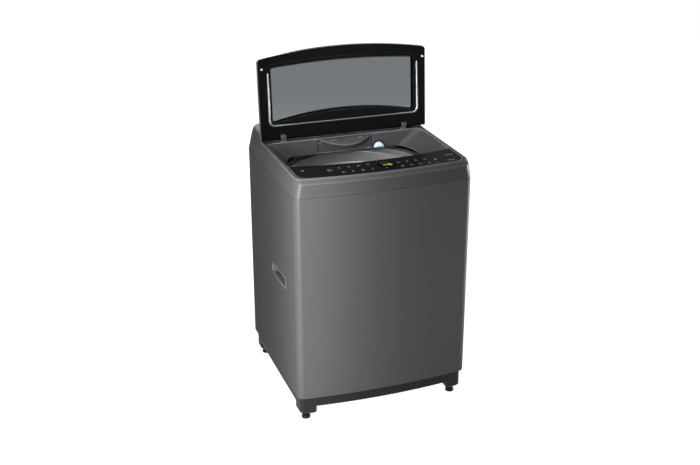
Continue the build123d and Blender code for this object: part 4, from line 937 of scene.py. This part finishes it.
seat = newShape()
seatInner = nozzleReach / mm + seatSettings["gap"]
ringPrism(
    seat, nozzleX / mm, nozzleZ / mm, seatInner, seatInner + seatSettings["width"],
    -seatSettings["gap"], seatSettings["thick"], onSplash, last=180, steps=seatSettings["steps"],
)
addPiece("nozzle_seat", seat, basePlastic, "cabinet", smooth=False)

# Ticks on the drawer's dome
tickSettings = {
    "places": ((-56, 104), (56, 104)), "size": (15, 2.0),
    "sink": -0.4, "lift": 0.25, "sightZ": 1200.0,
}
drawerTree = meshTree("detergent_drawer")


def onDome(tickX, tickY):  # lays an outline on the dome round one point
    sight = Vector((tickX * mm, tickY * mm, tickSettings["sightZ"] * mm))
    hit, facing = drawerTree.ray_cast(sight, Vector((0, 0, -1)))[:2]
    along = (Vector((1, 0, 0)) - facing * facing.x).normalized()
    across = facing.cross(along)
    return lambda x, y, height: hit + x * mm * along + y * mm * across + height * mm * facing


ticks = newShape()
for tickPlace in tickSettings["places"]:
    tickOutline = pill(0, 0, *tickSettings["size"])
    prism(ticks, tickOutline, tickSettings["sink"], tickSettings["lift"], onDome(*tickPlace))
addPiece("drawer_ticks", ticks, panelPrint, "drawer", smooth=False)

# Hose threads on the two inlets
threadSettings = {
    "pitch": 2.1, "wire": 0.75, "low": 325.0, "high": 337.0, "steps": 30, "sides": 6,
    "radius": 13.1, "axisZ": 972.0,
}
threadTurns = (threadSettings["high"] - threadSettings["low"]) / threadSettings["pitch"]
threadReach, threadZ = threadSettings["radius"] * mm, threadSettings["axisZ"] * mm
for inletName in ("inlet_valve_hot", "inlet_valve_cold"):
    inletLow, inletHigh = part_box(inletName)
    inletX = (inletLow.x + inletHigh.x) / 2
    path = []
    for i in range(int(threadTurns * threadSettings["steps"]) + 1):
        a = 2 * math.pi * i / threadSettings["steps"]
        y = (threadSettings["low"] + threadSettings["pitch"] * i / threadSettings["steps"]) * mm
        path.append(Vector((inletX + threadReach * math.cos(a), y, threadZ + threadReach * math.sin(a))))
    thread = newShape()
    tube(thread, path, [threadSettings["wire"] * mm] * len(path), threadSettings["sides"])
    addPiece(inletName.replace("valve", "thread"), thread, fittingPlastic, "cabinet")

# Cross slots in the rear screws, drawn as dark crosses on the heads: painted shade for the slots' depth
slotSettings = {"rows": 5, "head": 5.0, "arm": 3.0, "width": 0.9, "sink": -0.3, "lift": 0.06}
screwLow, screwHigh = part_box("panel_screws")
headRadius = slotSettings["head"] * mm
arm, thin = slotSettings["arm"], slotSettings["width"] / 2
crossOutline = (
    (thin, -arm), (thin, -thin), (arm, -thin), (arm, thin), (thin, thin), (thin, arm),
    (-thin, arm), (-thin, thin), (-arm, thin), (-arm, -thin), (-thin, -thin), (-thin, -arm),
)


def onRear(x, z, out):
    return (x * mm, screwHigh.y + out * mm, z * mm)


screwSlotShade = newShape()
for screwX in (screwLow.x + headRadius, screwHigh.x - headRadius):
    for row in range(slotSettings["rows"]):
        share = row / (slotSettings["rows"] - 1)
        screwZ = (screwLow.z + headRadius) * (1 - share) + (screwHigh.z - headRadius) * share
        cross = [(screwX / mm + x, screwZ / mm + z) for x, z in crossOutline]
        prism(screwSlotShade, cross, slotSettings["sink"], slotSettings["lift"], onRear)
addPiece("screw_slot_shade", screwSlotShade, basePlastic, "cabinet", smooth=False)
print("fittings threaded and screws slotted")
